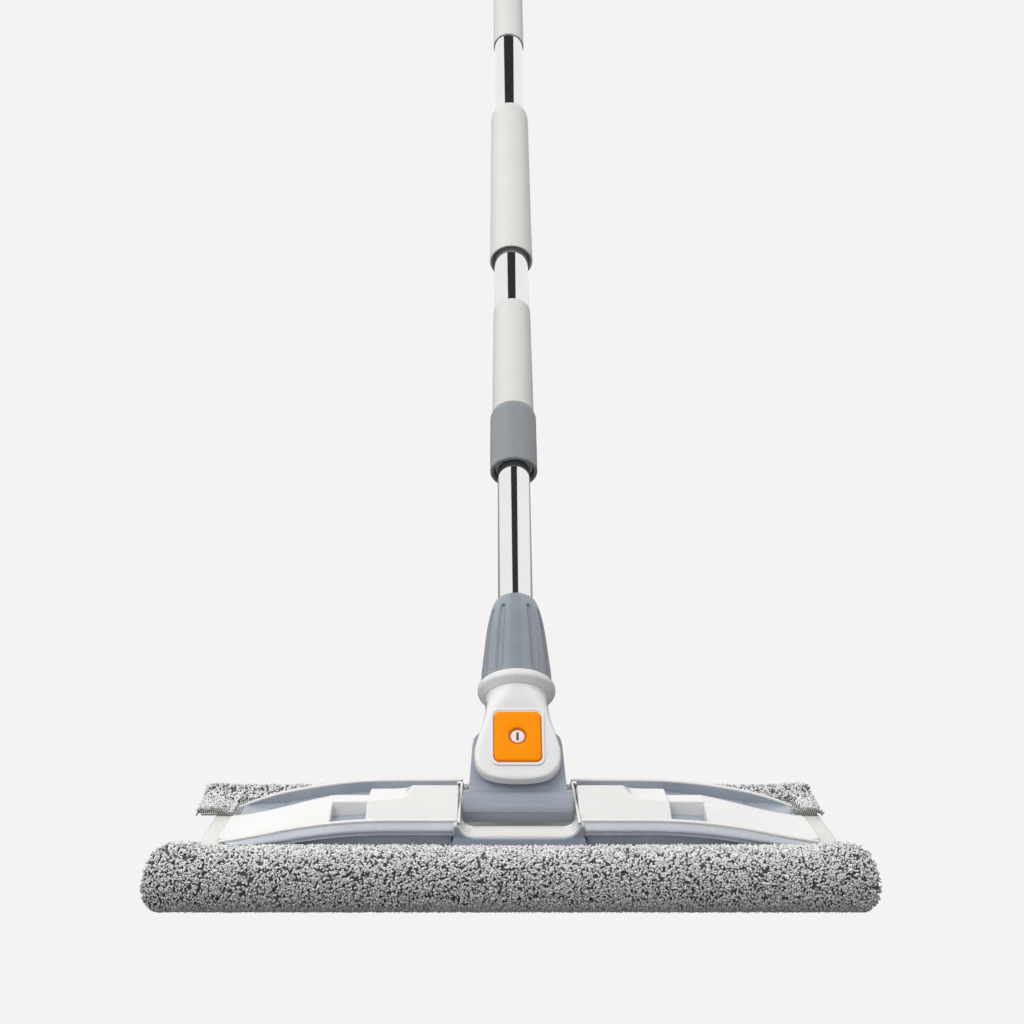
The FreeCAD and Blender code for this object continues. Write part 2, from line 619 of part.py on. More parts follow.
def roof_loft(sections):
    return Part.makeLoft([roof_section(*s) for s in sections], True, True)


def centre_roof(skin):
    """The ridged panel next to the barrel, its ridge scooped down towards the notch."""
    eave = 35.6 - skin
    ridge = RIDGE_Z - skin * 1.13
    low = RIDGE_Z - ROOF_SLOPE * 34.5 - skin * 1.13
    bottom = 42 if skin else low - 0.9
    start = 34.8 + (2.0 if skin else 0)
    end = NOTCH_START + (0.01 if skin else 0)
    roof = roof_loft([(start, ridge, 0.6, eave, low, bottom),
                      (end, ridge, 0.6, eave, low, bottom)])
    scoop_edge = smooth_edge([(64.5, 0, RIDGE_Z + 0.6 - skin), (67.2, 0, 61.2 - skin),
                              (70.6, 0, 58.9 - skin), (76.5, 0, 58.0 - skin),
                              (NOTCH_START + 1, 0, 57.3 - skin)])
    first, last = scoop_edge.Vertexes[0].Point, scoop_edge.Vertexes[-1].Point
    lid = [Part.makeLine(last, Vector(last.x, 0, 80)),
           Part.makeLine(Vector(last.x, 0, 80), Vector(first.x, 0, 80)),
           Part.makeLine(Vector(first.x, 0, 80), first)]
    scoop = Part.Face(Part.Wire([scoop_edge] + lid)).extrude(Vector(0, 80, 0))
    scoop.translate(Vector(0, -40, 0))
    return roof.cut(scoop)


def outer_roof(skin):
    """The spine from the notch to the wing's tip, falling and flattening."""
    stations = ((NOTCH_END, 54.4, 11.0, 29.4, 45.2), (130, 50.6, 10.8, 26.2, 42.9),
                (143, 47.3, 10.8, 22.6, 41.4), (155, 44.4, 10.8, 20.0, 40.4),
                (168, 41.9, 11.0, 17.0, 40.4), (179, 40.4, 11.5, 15.0, 39.6))
    last = len(stations) - (2 if skin else 0)
    sections = []
    for x, top, fold, eave, low in stations[:last]:
        bottom = 38.6 if skin == 0 else 34
        sections.append((x, top - skin * 1.1, fold - skin / 2, eave - skin, low - skin, bottom))
    return roof_loft(sections)


def wing_cover():
    """The white cover: ridged panel, narrow bridge in the finger notch, and spine."""
    panel = centre_roof(0).cut(centre_roof(COVER_SKIN))
    end_wall = centre_roof(0).common(box(30, 36.9, -40, 40, 40, 80))
    lug = box(37.4, 44, 4.2, 6.6, 52.5, 59.4)
    rib = box(86, 91.5, -34.6, 34.6, 47.4, 50).common(centre_roof(0))
    panel_end = centre_roof(0).common(box(NOTCH_START - COVER_SKIN, 120, -60, 60, 47.4, 80))
    spine = outer_roof(0).cut(outer_roof(COVER_SKIN))
    spine_end = outer_roof(0).common(box(NOTCH_END, NOTCH_END + COVER_SKIN, -60, 60, 46, 80))
    bridge = box(NOTCH_START - 1.5, NOTCH_END + 1.5, -6.6, 6.6, 47.5, 55.4)
    cover = panel.fuse([end_wall, panel_end, rib, bridge, spine, spine_end, lug, mirrored_y(lug)])
    cover = cover.cut(box(30, 37.8, -60, 60, 30, 56.4))
    frame_room = arch_band(lambda x: 30, lambda x: rib_bottom(x) + 1.6, 30, RIB_STRAIGHT_END, 60)
    cover = cover.cut(frame_room)
    cover = cover.cut(box(140, TIP_FLOOR_END + 0.2, -60, 60, 30, PLATE_TOP + 2.1))
    for strip in wing_ribs(RIB_WALL + 0.4, lambda x: 30, lambda x: 80):
        cover = cover.cut(strip)
    reach = WING_PIN_R + 0.05
    cover = cover.cut(rod(reach, (WING_PIVOT_X, -9, WING_PIVOT_Z), (WING_PIVOT_X, 9, WING_PIVOT_Z)))
    return cover.removeSplitter()


def clamp_strips():
    """The rubber teeth under each rib that grip the cloth's flap."""
    def strip(y0, y1):
        body = arch_band(lambda x: RIB_LOWEST + 0.1, rib_bottom, 50, 132, 60)
        body = body.common(box(40, 150, y0, y1, 30, 60))
        for k in range(12):
            x = 53 + 6.6 * k
            body = body.cut(box(x, x + 2.6, y0 - 1, y1 + 1, 30, RIB_LOWEST + 1.6))
        return body
    return strip(30, 35), strip(-35, -30)


def main():
    os.makedirs("parts", exist_ok=True)
    front, rear = neck_shells()
    pole = {
        "upper_tube": [upper_tube()], "mid_grip": [mid_grip()], "top_grip": [top_grip()],
        "lower_sleeve": [lower_sleeve()], "hanging_cap": [hanging_cap()],
        "guide_bush": [guide_bush()], "lock_collet": [lock_collet()],
        "lock_sleeve": [lock_sleeve()], "lower_tube": [lower_tube()],
        "slide_plug": [slide_plug()], "tube_socket": [tube_socket()],
        "cone_nut": [cone_nut()], "neck_front": [front], "neck_rear": [rear],
        "accent_cap": [accent_cap()], "pivot_screw": [pivot_screw()],
        "pivot_nut": [pivot_nut()], "pivot_washers": pivot_washers(), "yoke": [yoke()],
        "axle_bushes": axle_bushes(), "roll_bush": [roll_bush()],
    }
    for name, shapes in pole.items():
        save(name, *[on_pole(s) for s in shapes])
    head = {
        "axle_pin": [axle_pin()], "base_plate": [base_plate()], "base_screws": base_screws(),
        "centre_tub": [centre_tub()], "chassis": [chassis()], "wing_pins": wing_pins(),
        "wing_latches": wing_latches(), "sponge_pad": [sponge_pad()], "mop_cloth": [mop_cloth()],
    }
    for name, shapes in head.items():
        save(name, *shapes)
    wing = {
        "wing_frame": [wing_frame()], "wing_rims": wing_rims(), "wing_cover": [wing_cover()],
        "clamp_strips": clamp_strips(),
    }
    for name, shapes in wing.items():
        save(name + "_right", *shapes)
        save(name + "_left", *[mirrored_x(s) for s in shapes])


main()
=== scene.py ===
import json
import math

import bmesh
import bpy
import numpy as np
from mathutils import Matrix, Vector


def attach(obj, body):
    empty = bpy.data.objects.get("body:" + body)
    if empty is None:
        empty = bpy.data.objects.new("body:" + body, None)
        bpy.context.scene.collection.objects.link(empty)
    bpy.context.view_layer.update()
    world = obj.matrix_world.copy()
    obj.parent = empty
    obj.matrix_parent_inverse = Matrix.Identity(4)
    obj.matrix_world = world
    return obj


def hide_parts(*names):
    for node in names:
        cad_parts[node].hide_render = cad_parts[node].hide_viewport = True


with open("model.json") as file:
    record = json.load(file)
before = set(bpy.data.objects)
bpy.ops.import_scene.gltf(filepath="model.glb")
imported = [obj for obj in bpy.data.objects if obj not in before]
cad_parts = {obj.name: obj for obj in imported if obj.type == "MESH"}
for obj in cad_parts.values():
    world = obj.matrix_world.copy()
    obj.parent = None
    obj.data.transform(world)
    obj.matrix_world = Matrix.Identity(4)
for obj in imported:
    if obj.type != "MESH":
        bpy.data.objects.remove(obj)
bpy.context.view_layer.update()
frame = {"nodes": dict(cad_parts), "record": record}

# Sizes below are in millimetres unless a name says otherwise.
MM = 0.001
PIVOT_Z = 50.0
DIAGONAL = math.sqrt(0.5)
SIDES = (("right", 1), ("left", -1))


# --- materials ----------------------------------------------------------------------
def node_material(name):
    material = bpy.data.materials.new(name)
    material.use_nodes = True
    nodes, links = material.node_tree.nodes, material.node_tree.links
    return material, nodes, links, nodes["Principled BSDF"]


def noise(nodes, links, coords, scale, detail=3.0, stretch=None):
    texture = nodes.new("ShaderNodeTexNoise")
    texture.inputs["Scale"].default_value = scale
    texture.inputs["Detail"].default_value = detail
    source = coords
    if stretch:
        mapping = nodes.new("ShaderNodeMapping")
        mapping.inputs["Scale"].default_value = stretch
        links.new(coords, mapping.inputs["Vector"])
        source = mapping.outputs["Vector"]
    links.new(source, texture.inputs["Vector"])
    return texture.outputs["Fac"]


def ramp(nodes, links, source, stops):
    band = nodes.new("ShaderNodeValToRGB")
    elements = band.color_ramp.elements
    while len(elements) < len(stops):
        elements.new(0.5)
    for element, (place, colour) in zip(elements, stops):
        element.position = place
        element.color = (*colour, 1)
    links.new(source, band.inputs["Fac"])
    return band.outputs["Color"]


def spread(nodes, links, source, low, high):
    """Maps a 0..1 value to low..high."""
    spread_node = nodes.new("ShaderNodeMapRange")
    spread_node.inputs["From Min"].default_value = 0.3
    spread_node.inputs["From Max"].default_value = 0.7
    spread_node.inputs["To Min"].default_value = low
    spread_node.inputs["To Max"].default_value = high
    links.new(source, spread_node.inputs["Value"])
    return spread_node.outputs["Result"]


def bumped(nodes, links, shader, height, strength, distance):
    bump = nodes.new("ShaderNodeBump")
    bump.inputs["Strength"].default_value = strength
    bump.inputs["Distance"].default_value = distance
    links.new(height, bump.inputs["Height"])
    links.new(bump.outputs["Normal"], shader.inputs["Normal"])


def tinted(colour, factor):
    return tuple(min(1.0, c * factor) for c in colour)


def moulded(name, colour, rough, grain=0.08, variation=0.05, coat=0.0, metallic=0.0,
            stretch=None, grain_scale=900.0, specular=0.5):
    """Moulded or plated surface: faint mottling, uneven roughness and a fine grain."""
    material, nodes, links, shader = node_material(name)
    coords = nodes.new("ShaderNodeTexCoord").outputs["Object"]
    mottle = noise(nodes, links, coords, 38.0, 4.0)
    stops = ((0.32, tinted(colour, 1 - variation)), (0.68, tinted(colour, 1 + variation)))
    links.new(ramp(nodes, links, mottle, stops), shader.inputs["Base Color"])
    haze = noise(nodes, links, coords, 90.0, 3.0, stretch)
    links.new(spread(nodes, links, haze, rough * 0.85, rough * 1.15), shader.inputs["Roughness"])
    grain_noise = noise(nodes, links, coords, grain_scale, 2.0, stretch)
    bumped(nodes, links, shader, grain_noise, grain, 0.0002)
    shader.inputs["Metallic"].default_value = metallic
    shader.inputs["Specular IOR Level"].default_value = specular
    shader.inputs["Coat Weight"].default_value = coat
    shader.inputs["Coat Roughness"].default_value = 0.06
    return material


def pile_material(name, dark, light):
    """Yarn whose tone comes from the tuft it belongs to: painted shade darkens it towards the root,
    and painted light lifts tufts that face up or down.
    """
    material, nodes, links, shader = node_material(name)
    tone = nodes.new("ShaderNodeAttribute")
    tone.attribute_name = "tone"
    middle = tuple(0.5 * (a + b) for a, b in zip(dark, light))
    colour = ramp(nodes, links, tone.outputs["Fac"], ((0.0, dark), (0.55, middle), (1.0, light)))
    links.new(colour, shader.inputs["Base Color"])
    coords = nodes.new("ShaderNodeTexCoord").outputs["Object"]
    twist = noise(nodes, links, coords, 2600.0, 2.0)
    bumped(nodes, links, shader, twist, 0.5, 0.0004)
    links.new(spread(nodes, links, twist, 0.75, 0.98), shader.inputs["Roughness"])
    shader.inputs["Sheen Weight"].default_value = 0.25
    shader.inputs["Sheen Roughness"].default_value = 0.5
    shader.inputs["Specular IOR Level"].default_value = 0.25
    return material


def woven(name, colour, scale):
    """Knitted backing, hatched diagonally."""
    material, nodes, links, shader = node_material(name)
    coords = nodes.new("ShaderNodeTexCoord").outputs["Object"]
    wave = nodes.new("ShaderNodeTexWave")
    wave.bands_direction = "DIAGONAL"
    wave.inputs["Scale"].default_value = scale
    wave.inputs["Distortion"].default_value = 1.5
    wave.inputs["Detail"].default_value = 2.0
    links.new(coords, wave.inputs["Vector"])
    stops = ((0.15, tinted(colour, 0.55)), (0.8, tinted(colour, 1.2)))
    links.new(ramp(nodes, links, wave.outputs["Fac"], stops), shader.inputs["Base Color"])
    links.new(spread(nodes, links, wave.outputs["Fac"], 0.8, 0.95), shader.inputs["Roughness"])
    bumped(nodes, links, shader, wave.outputs["Fac"], 0.6, 0.0005)
    shader.inputs["Sheen Weight"].default_value = 0.2
    return material


def knit(name, colour):
    """The cloth's fine ground knit, between the tufts."""
    material, nodes, links, shader = node_material(name)
    coords = nodes.new("ShaderNodeTexCoord").outputs["Object"]
    loops = noise(nodes, links, coords, 1400.0, 2.0)
    stops = ((0.3, tinted(colour, 0.55)), (0.7, tinted(colour, 1.35)))
    links.new(ramp(nodes, links, loops, stops), shader.inputs["Base Color"])
    links.new(spread(nodes, links, loops, 0.82, 0.97), shader.inputs["Roughness"])
    bumped(nodes, links, shader, loops, 0.6, 0.0005)
    return material


def foam(name, colour):
    material, nodes, links, shader = node_material(name)
    coords = nodes.new("ShaderNodeTexCoord").outputs["Object"]
    cells = nodes.new("ShaderNodeTexVoronoi")
    cells.inputs["Scale"].default_value = 700.0
    links.new(coords, cells.inputs["Vector"])
    stops = ((0.0, tinted(colour, 0.55)), (0.6, colour))
    links.new(ramp(nodes, links, cells.outputs["Distance"], stops), shader.inputs["Base Color"])
    cell_roughness = spread(nodes, links, cells.outputs["Distance"], 0.85, 0.97)
    links.new(cell_roughness, shader.inputs["Roughness"])
    bumped(nodes, links, shader, cells.outputs["Distance"], 0.8, 0.0005)
    return material


ALONG_POLE = (1.0, 0.15, 0.15)
MATERIALS = {
    "chrome_tube": moulded("tube_chrome", (0.86, 0.86, 0.86), 0.07, grain=0.02, variation=0.015,
                           metallic=1.0, stretch=ALONG_POLE),
    "grip_white": moulded("grip_white", (0.70, 0.69, 0.665), 0.42, grain=0.12, variation=0.015),
    "lock_grey": moulded("lock_grey", (0.26, 0.285, 0.305), 0.40, grain=0.12),
    "nut_grey": moulded("nut_grey", (0.25, 0.28, 0.315), 0.27, grain=0.05, coat=0.2),
    "neck_white": moulded("neck_white", (0.80, 0.80, 0.79), 0.24, grain=0.03, variation=0.01,
                          coat=0.4),
    "accent_orange": moulded("accent_orange", (0.97, 0.285, 0.0), 0.5, grain=0.04,
                             variation=0.02, specular=0.05),
    "steel": moulded("screw_steel", (0.62, 0.60, 0.59), 0.28, grain=0.08, metallic=1.0),
    "nylon": moulded("nylon", (0.72, 0.71, 0.67), 0.45, grain=0.10),
    "yoke_grey": moulded("yoke_grey", (0.33, 0.365, 0.43), 0.24, grain=0.05, coat=0.3),
    "plate_ivory": moulded("plate_ivory", (0.70, 0.69, 0.64), 0.30, grain=0.06),
    "frame_grey": moulded("frame_grey", (0.33, 0.365, 0.43), 0.26, grain=0.05, coat=0.3),
    "cover_white": moulded("cover_white", (0.80, 0.795, 0.775), 0.20, grain=0.02,
                           variation=0.012, coat=0.5),
    "tooth_rubber": moulded("tooth_rubber", (0.035, 0.04, 0.045), 0.6, grain=0.3),
    "pad_foam": foam("pad_foam", (0.42, 0.44, 0.45)),
    "pile_grey": pile_material("pile_grey", (0.05, 0.051, 0.05), (0.95, 0.95, 0.95)),
}
# The outer knit is darkened to stand for the shade between the tufts: painted shade.
BACKING_PAINTED_SHADE = knit("cloth_backing", (0.11, 0.11, 0.108))
LINING = knit("cloth_lining", (0.50, 0.50, 0.49))
# A darker copy of the chassis grey, for the skirt and ears under the tub's lip: painted shade.
CHASSIS_PAINTED_SHADE = moulded("chassis_painted_shade", (0.205, 0.235, 0.295), 0.26, grain=0.05, coat=0.3)
# A lighter copy of the frame grey for the upper part of the rib walls: painted light.
RIB_FACE_PAINTED_LIGHT = moulded("rib_face", (0.64, 0.675, 0.73), 0.26, grain=0.05, coat=0.3)
SCREW = moulded("screw_pale", (0.86, 0.74, 0.70), 0.35, grain=0.05, specular=0.5)
# Near black for the shade inside the screw's slot: painted shade.
SLOT_PAINTED_SHADE = moulded("slot_painted_shade", (0.08, 0.06, 0.05), 0.6)
# Dark orange for the shadow in the gap round the accent cap and round the screw head: painted shadow.
RING_PAINTED_SHADOW = moulded("ring_painted_shadow", (0.55, 0.12, 0.01), 0.5)
BINDING = woven("cloth_binding", (0.42, 0.42, 0.40), 420.0)


# --- meshes -------------------------------------------------------------------------
def piece(name, verts, faces, body, slot, stands_for=(), material=None, sharp=38.0):
    """A smooth-shaded piece from millimetre points, riding on a body."""
    mesh = bpy.data.meshes.new(name)
    mesh.from_pydata([(x * MM, y * MM, z * MM) for x, y, z in verts], [], faces)
    mesh.validate()
    obj = bpy.data.objects.new(name, mesh)
    bpy.context.scene.collection.objects.link(obj)
    outward(mesh)
    mesh.shade_smooth()
    mesh.set_sharp_from_angle(angle=math.radians(sharp))
    mesh.materials.append(material or MATERIALS[slot])
    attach(obj, body)
    if stands_for:
        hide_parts(*stands_for)
    return obj


def outward(mesh):
    work = bmesh.new()
    work.from_mesh(mesh)
    bmesh.ops.recalc_face_normals(work, faces=work.faces)
    work.to_mesh(mesh)
    work.free()


def on_pole(x, y, along):
    """A point of the pole's own frame: along it from the barrel, y towards the back."""
    return x, DIAGONAL * (y + along), PIVOT_Z + DIAGONAL * (along - y)


def loft(rings, wrap_rings=False, capped=True):
    """Quads between closed rings of equal count."""
    count = len(rings[0])
    verts = [p for ring in rings for p in ring]
    faces = []
    spans = len(rings) if wrap_rings else len(rings) - 1
    for i in range(spans):
        here, there = i * count, ((i + 1) % len(rings)) * count
        for j in range(count):
            k = (j + 1) % count
            faces.append((here + j, here + k, there + k, there + j))
    if capped and not wrap_rings:
        faces.append(tuple(range(count))[::-1])
        faces.append(tuple(range((len(rings) - 1) * count, len(rings) * count)))
    return verts, faces


def softened(points, radius, steps=4):
    """A closed outline with its corners rounded."""
    result = []
    count = len(points)
    for k in range(count):
        before, corner, after = (Vector(points[(k + d) % count]) for d in (-1, 0, 1))
        reach_a, reach_b = (before - corner).length, (after - corner).length
        cut = min(radius, 0.45 * reach_a, 0.45 * reach_b)
        start = corner + (before - corner) * (cut / reach_a)
        end = corner + (after - corner) * (cut / reach_b)
        for s in range(steps + 1):
            t = s / steps
            result.append(tuple((1 - t) ** 2 * start + 2 * t * (1 - t) * corner + t * t * end))
    return result


def turned(profile, place, count=96):
    """Turns a closed (radius, along) outline into a ring-shaped solid."""
    rings = []
    for k in range(count):
        turn = 2 * math.pi * k / count
        c, s = math.cos(turn), math.sin(turn)
        rings.append([place(r * c, r * s, z) for r, z in profile])
    return loft(rings, wrap_rings=True)


def offset_outline(points, inset):
    """Moves each point of a closed counter-clockwise outline inward."""
    moved = []
    count = len(points)
    for k in range(count):
        a, b = Vector(points[k - 1]), Vector(points[(k + 1) % count])
        along = (b - a).normalized()
        moved.append((points[k][0] - along.y * inset, points[k][1] + along.x * inset))
    return moved


def rounded_slab(outline, low, high, radius, place, steps=4, round_low=True):
    """Extrudes an outline from low to high with rounded rims."""
    rings = []
    turns = [math.pi / 2 * k / steps for k in range(steps + 1)]
    if round_low:
        for turn in turns:
            ring = offset_outline(outline, radius * (1 - math.sin(turn)))
            rings.append([place(a, b, low + radius * (1 - math.cos(turn))) for a, b in ring])
    else:
        rings.append([place(a, b, low) for a, b in outline])
    for turn in reversed(turns):
        ring = offset_outline(outline, radius * (1 - math.sin(turn)))
        rings.append([place(a, b, high - radius * (1 - math.cos(turn))) for a, b in ring])
    return loft(rings)


def rounded_rectangle(half_a, half_b, corner, centre=(0.0, 0.0), steps=8, straight=6):
    """Corners as arcs, with evenly spaced points along the straight sides."""
    points = []
    arcs = []
    for k, (sa, sb) in enumerate(((1, -1), (1, 1), (-1, 1), (-1, -1))):
        arcs.append([(centre[0] + sa * (half_a - corner) + corner * math.cos(turn),
                      centre[1] + sb * (half_b - corner) + corner * math.sin(turn))
                     for turn in steps_between(math.pi / 2 * (k - 1), math.pi / 2 * k, steps)])
    for arc, after in zip(arcs, arcs[1:] + arcs[:1]):
        points += arc
        (a, b), (c, d) = arc[-1], after[0]
        points += [(a + (c - a) * t, b + (d - b) * t) for t in steps_between(0, 1, straight)[1:-1]]
    return points


def between(x, table):
    """Straight-line interpolation in ((x, value), ...)."""
    return float(np.interp(x, [a for a, _ in table], [b for _, b in table]))


def smooth_between(x, table):
    """Monotone smooth interpolation through ((x, value), ...)."""
    xs = [a for a, _ in table]
    ys = [b for _, b in table]
    if x <= xs[0]:
        return ys[0]
    if x >= xs[-1]:
        return ys[-1]
    k = max(i for i in range(len(xs) - 1) if xs[i] <= x)
    slopes = [(ys[i + 1] - ys[i]) / (xs[i + 1] - xs[i]) for i in range(len(xs) - 1)]
    def tangent(i):
        if i == 0 or i == len(xs) - 1:
            return slopes[min(i, len(slopes) - 1)]
        a, b = slopes[i - 1], slopes[i]
        return 0.0 if a * b <= 0 else 2 * a * b / (a + b)
    span = xs[k + 1] - xs[k]
    t = (x - xs[k]) / span
    a = (1 + 2 * t) * (1 - t) ** 2 * ys[k] + t * (1 - t) ** 2 * span * tangent(k)
    b = t * t * (3 - 2 * t) * ys[k + 1] + t * t * (t - 1) * span * tangent(k + 1)
    return a + b


def steps_between(a, b, count):
    return [a + (b - a) * k / count for k in range(count + 1)]


# --- pole ---------------------------------------------------------------------------
def pole_pieces():
    def part(name, profile, body, slot, nodes, soft=0.5, count=96):
        outline = softened(profile, soft)
        piece(name, *turned(outline, on_pole, count), body, slot, nodes)

    part("tube_upper_look", [(13.4, 290), (14.3, 290), (14.3, 1105), (13.4, 1105)],
         "handle_upper", "chrome_tube", ["upper_tube"], 0.3, 128)
    part("tube_lower_look", [(11.1, 100), (12, 100), (12, 660), (11.1, 660)],
         "handle_lower", "chrome_tube", ["lower_tube"], 0.3, 128)
    part("lock_sleeve_look",
         [(15.2, 270.6), (16.8, 270.6), (17.6, 271.6), (17.6, 325), (17.1, 327.2), (15.9, 329.4),
          (15.7, 329.4), (15.7, 282), (15.2, 281)],
         "lock_sleeve_body", "lock_grey", ["lock_sleeve"], 0.7)
    part("lower_sleeve_look",
         [(14.35, 329.8), (16.0, 329.8), (15.2, 446.2), (14.9, 447.6), (14.35, 447.6)],
         "handle_upper", "grip_white", ["lower_sleeve"], 0.6)
    part("mid_grip_look",
         [(16.9, 510.5), (18.0, 510.5), (18.4, 511.3), (17.9, 570), (17.7, 714), (17.2, 720.5),
          (16.2, 723.8), (15.3, 724.6), (14.35, 724.6), (14.35, 519.5), (16.4, 517.5)],
         "handle_upper", "grip_white", ["mid_grip"], 1.0)
    part("top_grip_look", [(14.35, 846), (15.3, 846), (15.3, 1104.9), (14.35, 1104.9)],
         "handle_upper", "grip_white", ["top_grip"], 0.4)


# --- neck -----------------------------------------------------------------------------
SHIELD = ((9.6, 0.0), (9.75, 5.0), (10.2, 10.0), (11.4, 16.2), (13.2, 20.2), (15.6, 23.0),
          (18.6, 25.2), (22.0, 26.5), (26.0, 27.1), (29.3, 27.1), (36.3, 25.8), (43.3, 23.9),
          (51.5, 21.8), (60.0, 20.6), (67.0, 20.4), (78.3, 20.4))
DEPTH = ((5.0, 18.0), (48.0, 18.0), (58.0, 18.7), (67.0, 20.1), (78.3, 20.4))
POWER = ((5.0, 13.0), (30.0, 13.0), (45.0, 11.0), (56.0, 6.5), (65.0, 3.2), (74.0, 2.0))
SCREW_AT = 38.6
CLEVIS_TOP = 69.0
CLEVIS_INNER = 10.6


def neck_section(along, inner, side, count=72):
    """Half of the neck's cross-section, from one edge of the cheek round to the other."""
    half = smooth_between(along, SHIELD)
    depth = smooth_between(along, DEPTH)
    power = between(along, POWER)
    lift = max(0.0, (12.0 - along) / 2.4)
    depth -= 1.9 * (1 - math.sqrt(max(0.0, 1 - lift * lift)))
    reach = math.acos(min(1.0, (inner / depth) ** (power / 2)))
    arc = []
    for t in steps_between(-reach, reach, count):
        s, c = math.sin(t), math.cos(t)
        x = half * math.copysign(abs(s) ** (2 / power), s)
        arc.append((x, side * max(inner, depth * c ** (2 / power))))
    back = [(x, side * inner) for x in np.linspace(arc[-1][0], arc[0][0], 13)[1:-1]]
    return [on_pole(x, y, along) for x, y in arc + back]


def neck_half(name, side, node):
    levels = [9.6, 9.65, 9.8, 10.1, 10.6, 11.3, 12.2, 13.3, 14.6, 16, 18, 20, 22, 24.5, 27]
    levels += steps_between(30, CLEVIS_TOP, 26)
    rings = [neck_section(along, CLEVIS_INNER, side) for along in levels]
    rings += [neck_section(along, 0.06, side) for along in steps_between(CLEVIS_TOP, 78.8, 8)]
    return piece(name, *loft(rings), "handle_lower", "neck_white", [node])


def neck_pieces():
    neck_half("neck_front_look", -1, "neck_front")
    neck_half("neck_rear_look", 1, "neck_rear")
    bead = softened([(20.2, 75.6), (22.6, 77.4), (24.9, 79.4), (25.5, 80.8), (25.5, 83.4),
                     (24.6, 84.6), (20.0, 84.6), (20.0, 82.0)], 1.2, 6)
    piece("neck_collar", *turned(bead, on_pole, 128), "handle_lower", "neck_white")

    def facing(a, b, height):
        return on_pole(a, -height, SCREW_AT + b)

    outer = rounded_rectangle(16.9, 20.2, 5.2)
    inner = rounded_rectangle(15.15, 18.15, 4.1)
    rings = []
    for ring, inset, height in ((outer, 0, 17.2), (outer, 0, 18.4), (outer, 0.25, 18.8),
                                (outer, 0.6, 18.95), (inner, -0.5, 18.95), (inner, -0.15, 18.8),
                                (inner, 0, 18.4), (inner, 0, 17.2)):
        rings.append([facing(a, b, height) for a, b in offset_outline(ring, inset)])
    piece("cap_frame", *loft(rings, wrap_rings=True), "handle_lower", "neck_white")

    # A dark orange slab under the gap round the cap and round the screw: painted shadow.
    painted_shadow_slab = rounded_slab(rounded_rectangle(15.1, 18.1, 4.1), 17.4, 18.1, 0.1, facing)
    piece("cap_painted_shadow", *painted_shadow_slab, "handle_lower", "accent_orange", material=RING_PAINTED_SHADOW)
    cap = rounded_rectangle(14.65, 17.45, 3.7, (0, 0.25))
    hole = [(5.7 * math.cos(t), 5.7 * math.sin(t))
            for t in [math.atan2(b, a) for a, b in cap]]
    rings = []
    for ring, inset, height in ((cap, 0, 16.6), (cap, 0, 18.0), (cap, 0.1, 18.35),
                                (cap, 0.35, 18.7), (cap, 0.7, 18.9), (cap, 1.1, 19.0)):
        rings.append([facing(a, b, height) for a, b in offset_outline(ring, inset)])
    for share in (0.35, 0.7):
        rings.append([facing(a + (c - a) * share, b + (d - b) * share, 19.02)
                      for (a, b), (c, d) in zip(cap, hole)])
    for grow, height in ((1.12, 18.98), (1.03, 18.7), (0.98, 16.6)):
        rings.append([facing(a * grow, b * grow, height) for a, b in hole])
    piece("accent_cap_look", *loft(rings, wrap_rings=True), "handle_lower", "accent_orange",
          ["accent_cap"])

    screw_piece(facing)


def screw_piece(facing):
    """The roll screw: a low dome with a crossed recess, and its shank."""
    spokes, head = 72, 4.6
    radii = steps_between(0.25, 3.9, 14) + [4.15, 4.4, 4.55, head]
    rings = []
    for radius in radii:
        ring = []
        for k in range(spokes):
            turn = 2 * math.pi * k / spokes
            a, b = radius * math.cos(turn), radius * math.sin(turn)
            rise = 18.55 - 0.02 * radius * radius
            rim = max(0.0, (radius - 3.9) / (head - 3.9))
            rise -= 0.55 * (1 - math.sqrt(max(0.0, 1 - rim * rim)))
            arm = max(abs(a) - 0.62, abs(b) - 2.7)
            rise -= 1.6 * max(0.0, min(1.0, 0.5 - arm / 0.3))
            ring.append(facing(a, b, rise))
        rings.append(ring)
    for radius, height in ((head, 17.2), (3.0, 17.2), (3.0, -17.2)):
        rings.append([facing(radius * math.cos(2 * math.pi * k / spokes),
                             radius * math.sin(2 * math.pi * k / spokes), height)
                      for k in range(spokes)])
    piece("pivot_screw_look", *loft(rings), "handle_lower", "steel", ["pivot_screw"], SCREW, 50)
    # A near-black slab in the slot's recess: painted shade.
    slot = rounded_slab(rounded_rectangle(0.62, 2.7, 0.5), 17.9, 18.16, 0.1, facing)
    piece("screw_slot", *slot, "handle_lower", "nut_grey", material=SLOT_PAINTED_SHADE)


def cone_profile(along):
    return smooth_between(along, ((84.9, 23.4), (95, 22.9), (105, 22.0), (115, 21.0), (125, 20.0),
                                  (135, 18.6), (143, 16.9), (148, 15.4), (150.5, 14.4),
                                  (152.0, 13.4)))


def flute_depth(turn, along):
    """How far the nut's surface is sunk: round-ended flutes, in four pairs."""
    around = (math.degrees(turn) + 90) % 90
    away = min(abs(around - 30), abs(around - 60))
    half_width = 5.2
    for end in (141.6 - along, along - 86.6):
        if end < 4:
            half_width *= math.sqrt(max(0.0, 1 - (1 - end / 4) ** 2)) if end > 0 else 0.0
    if half_width < 0.2:
        return 0.0
    edge = (half_width - away) / 1.5
    sunk = 0.5 + 0.5 * math.tanh(1.9 * edge)
    lip = math.exp(-((edge + 1.0) / 0.55) ** 2)
    return 1.5 * sunk - 0.34 * lip


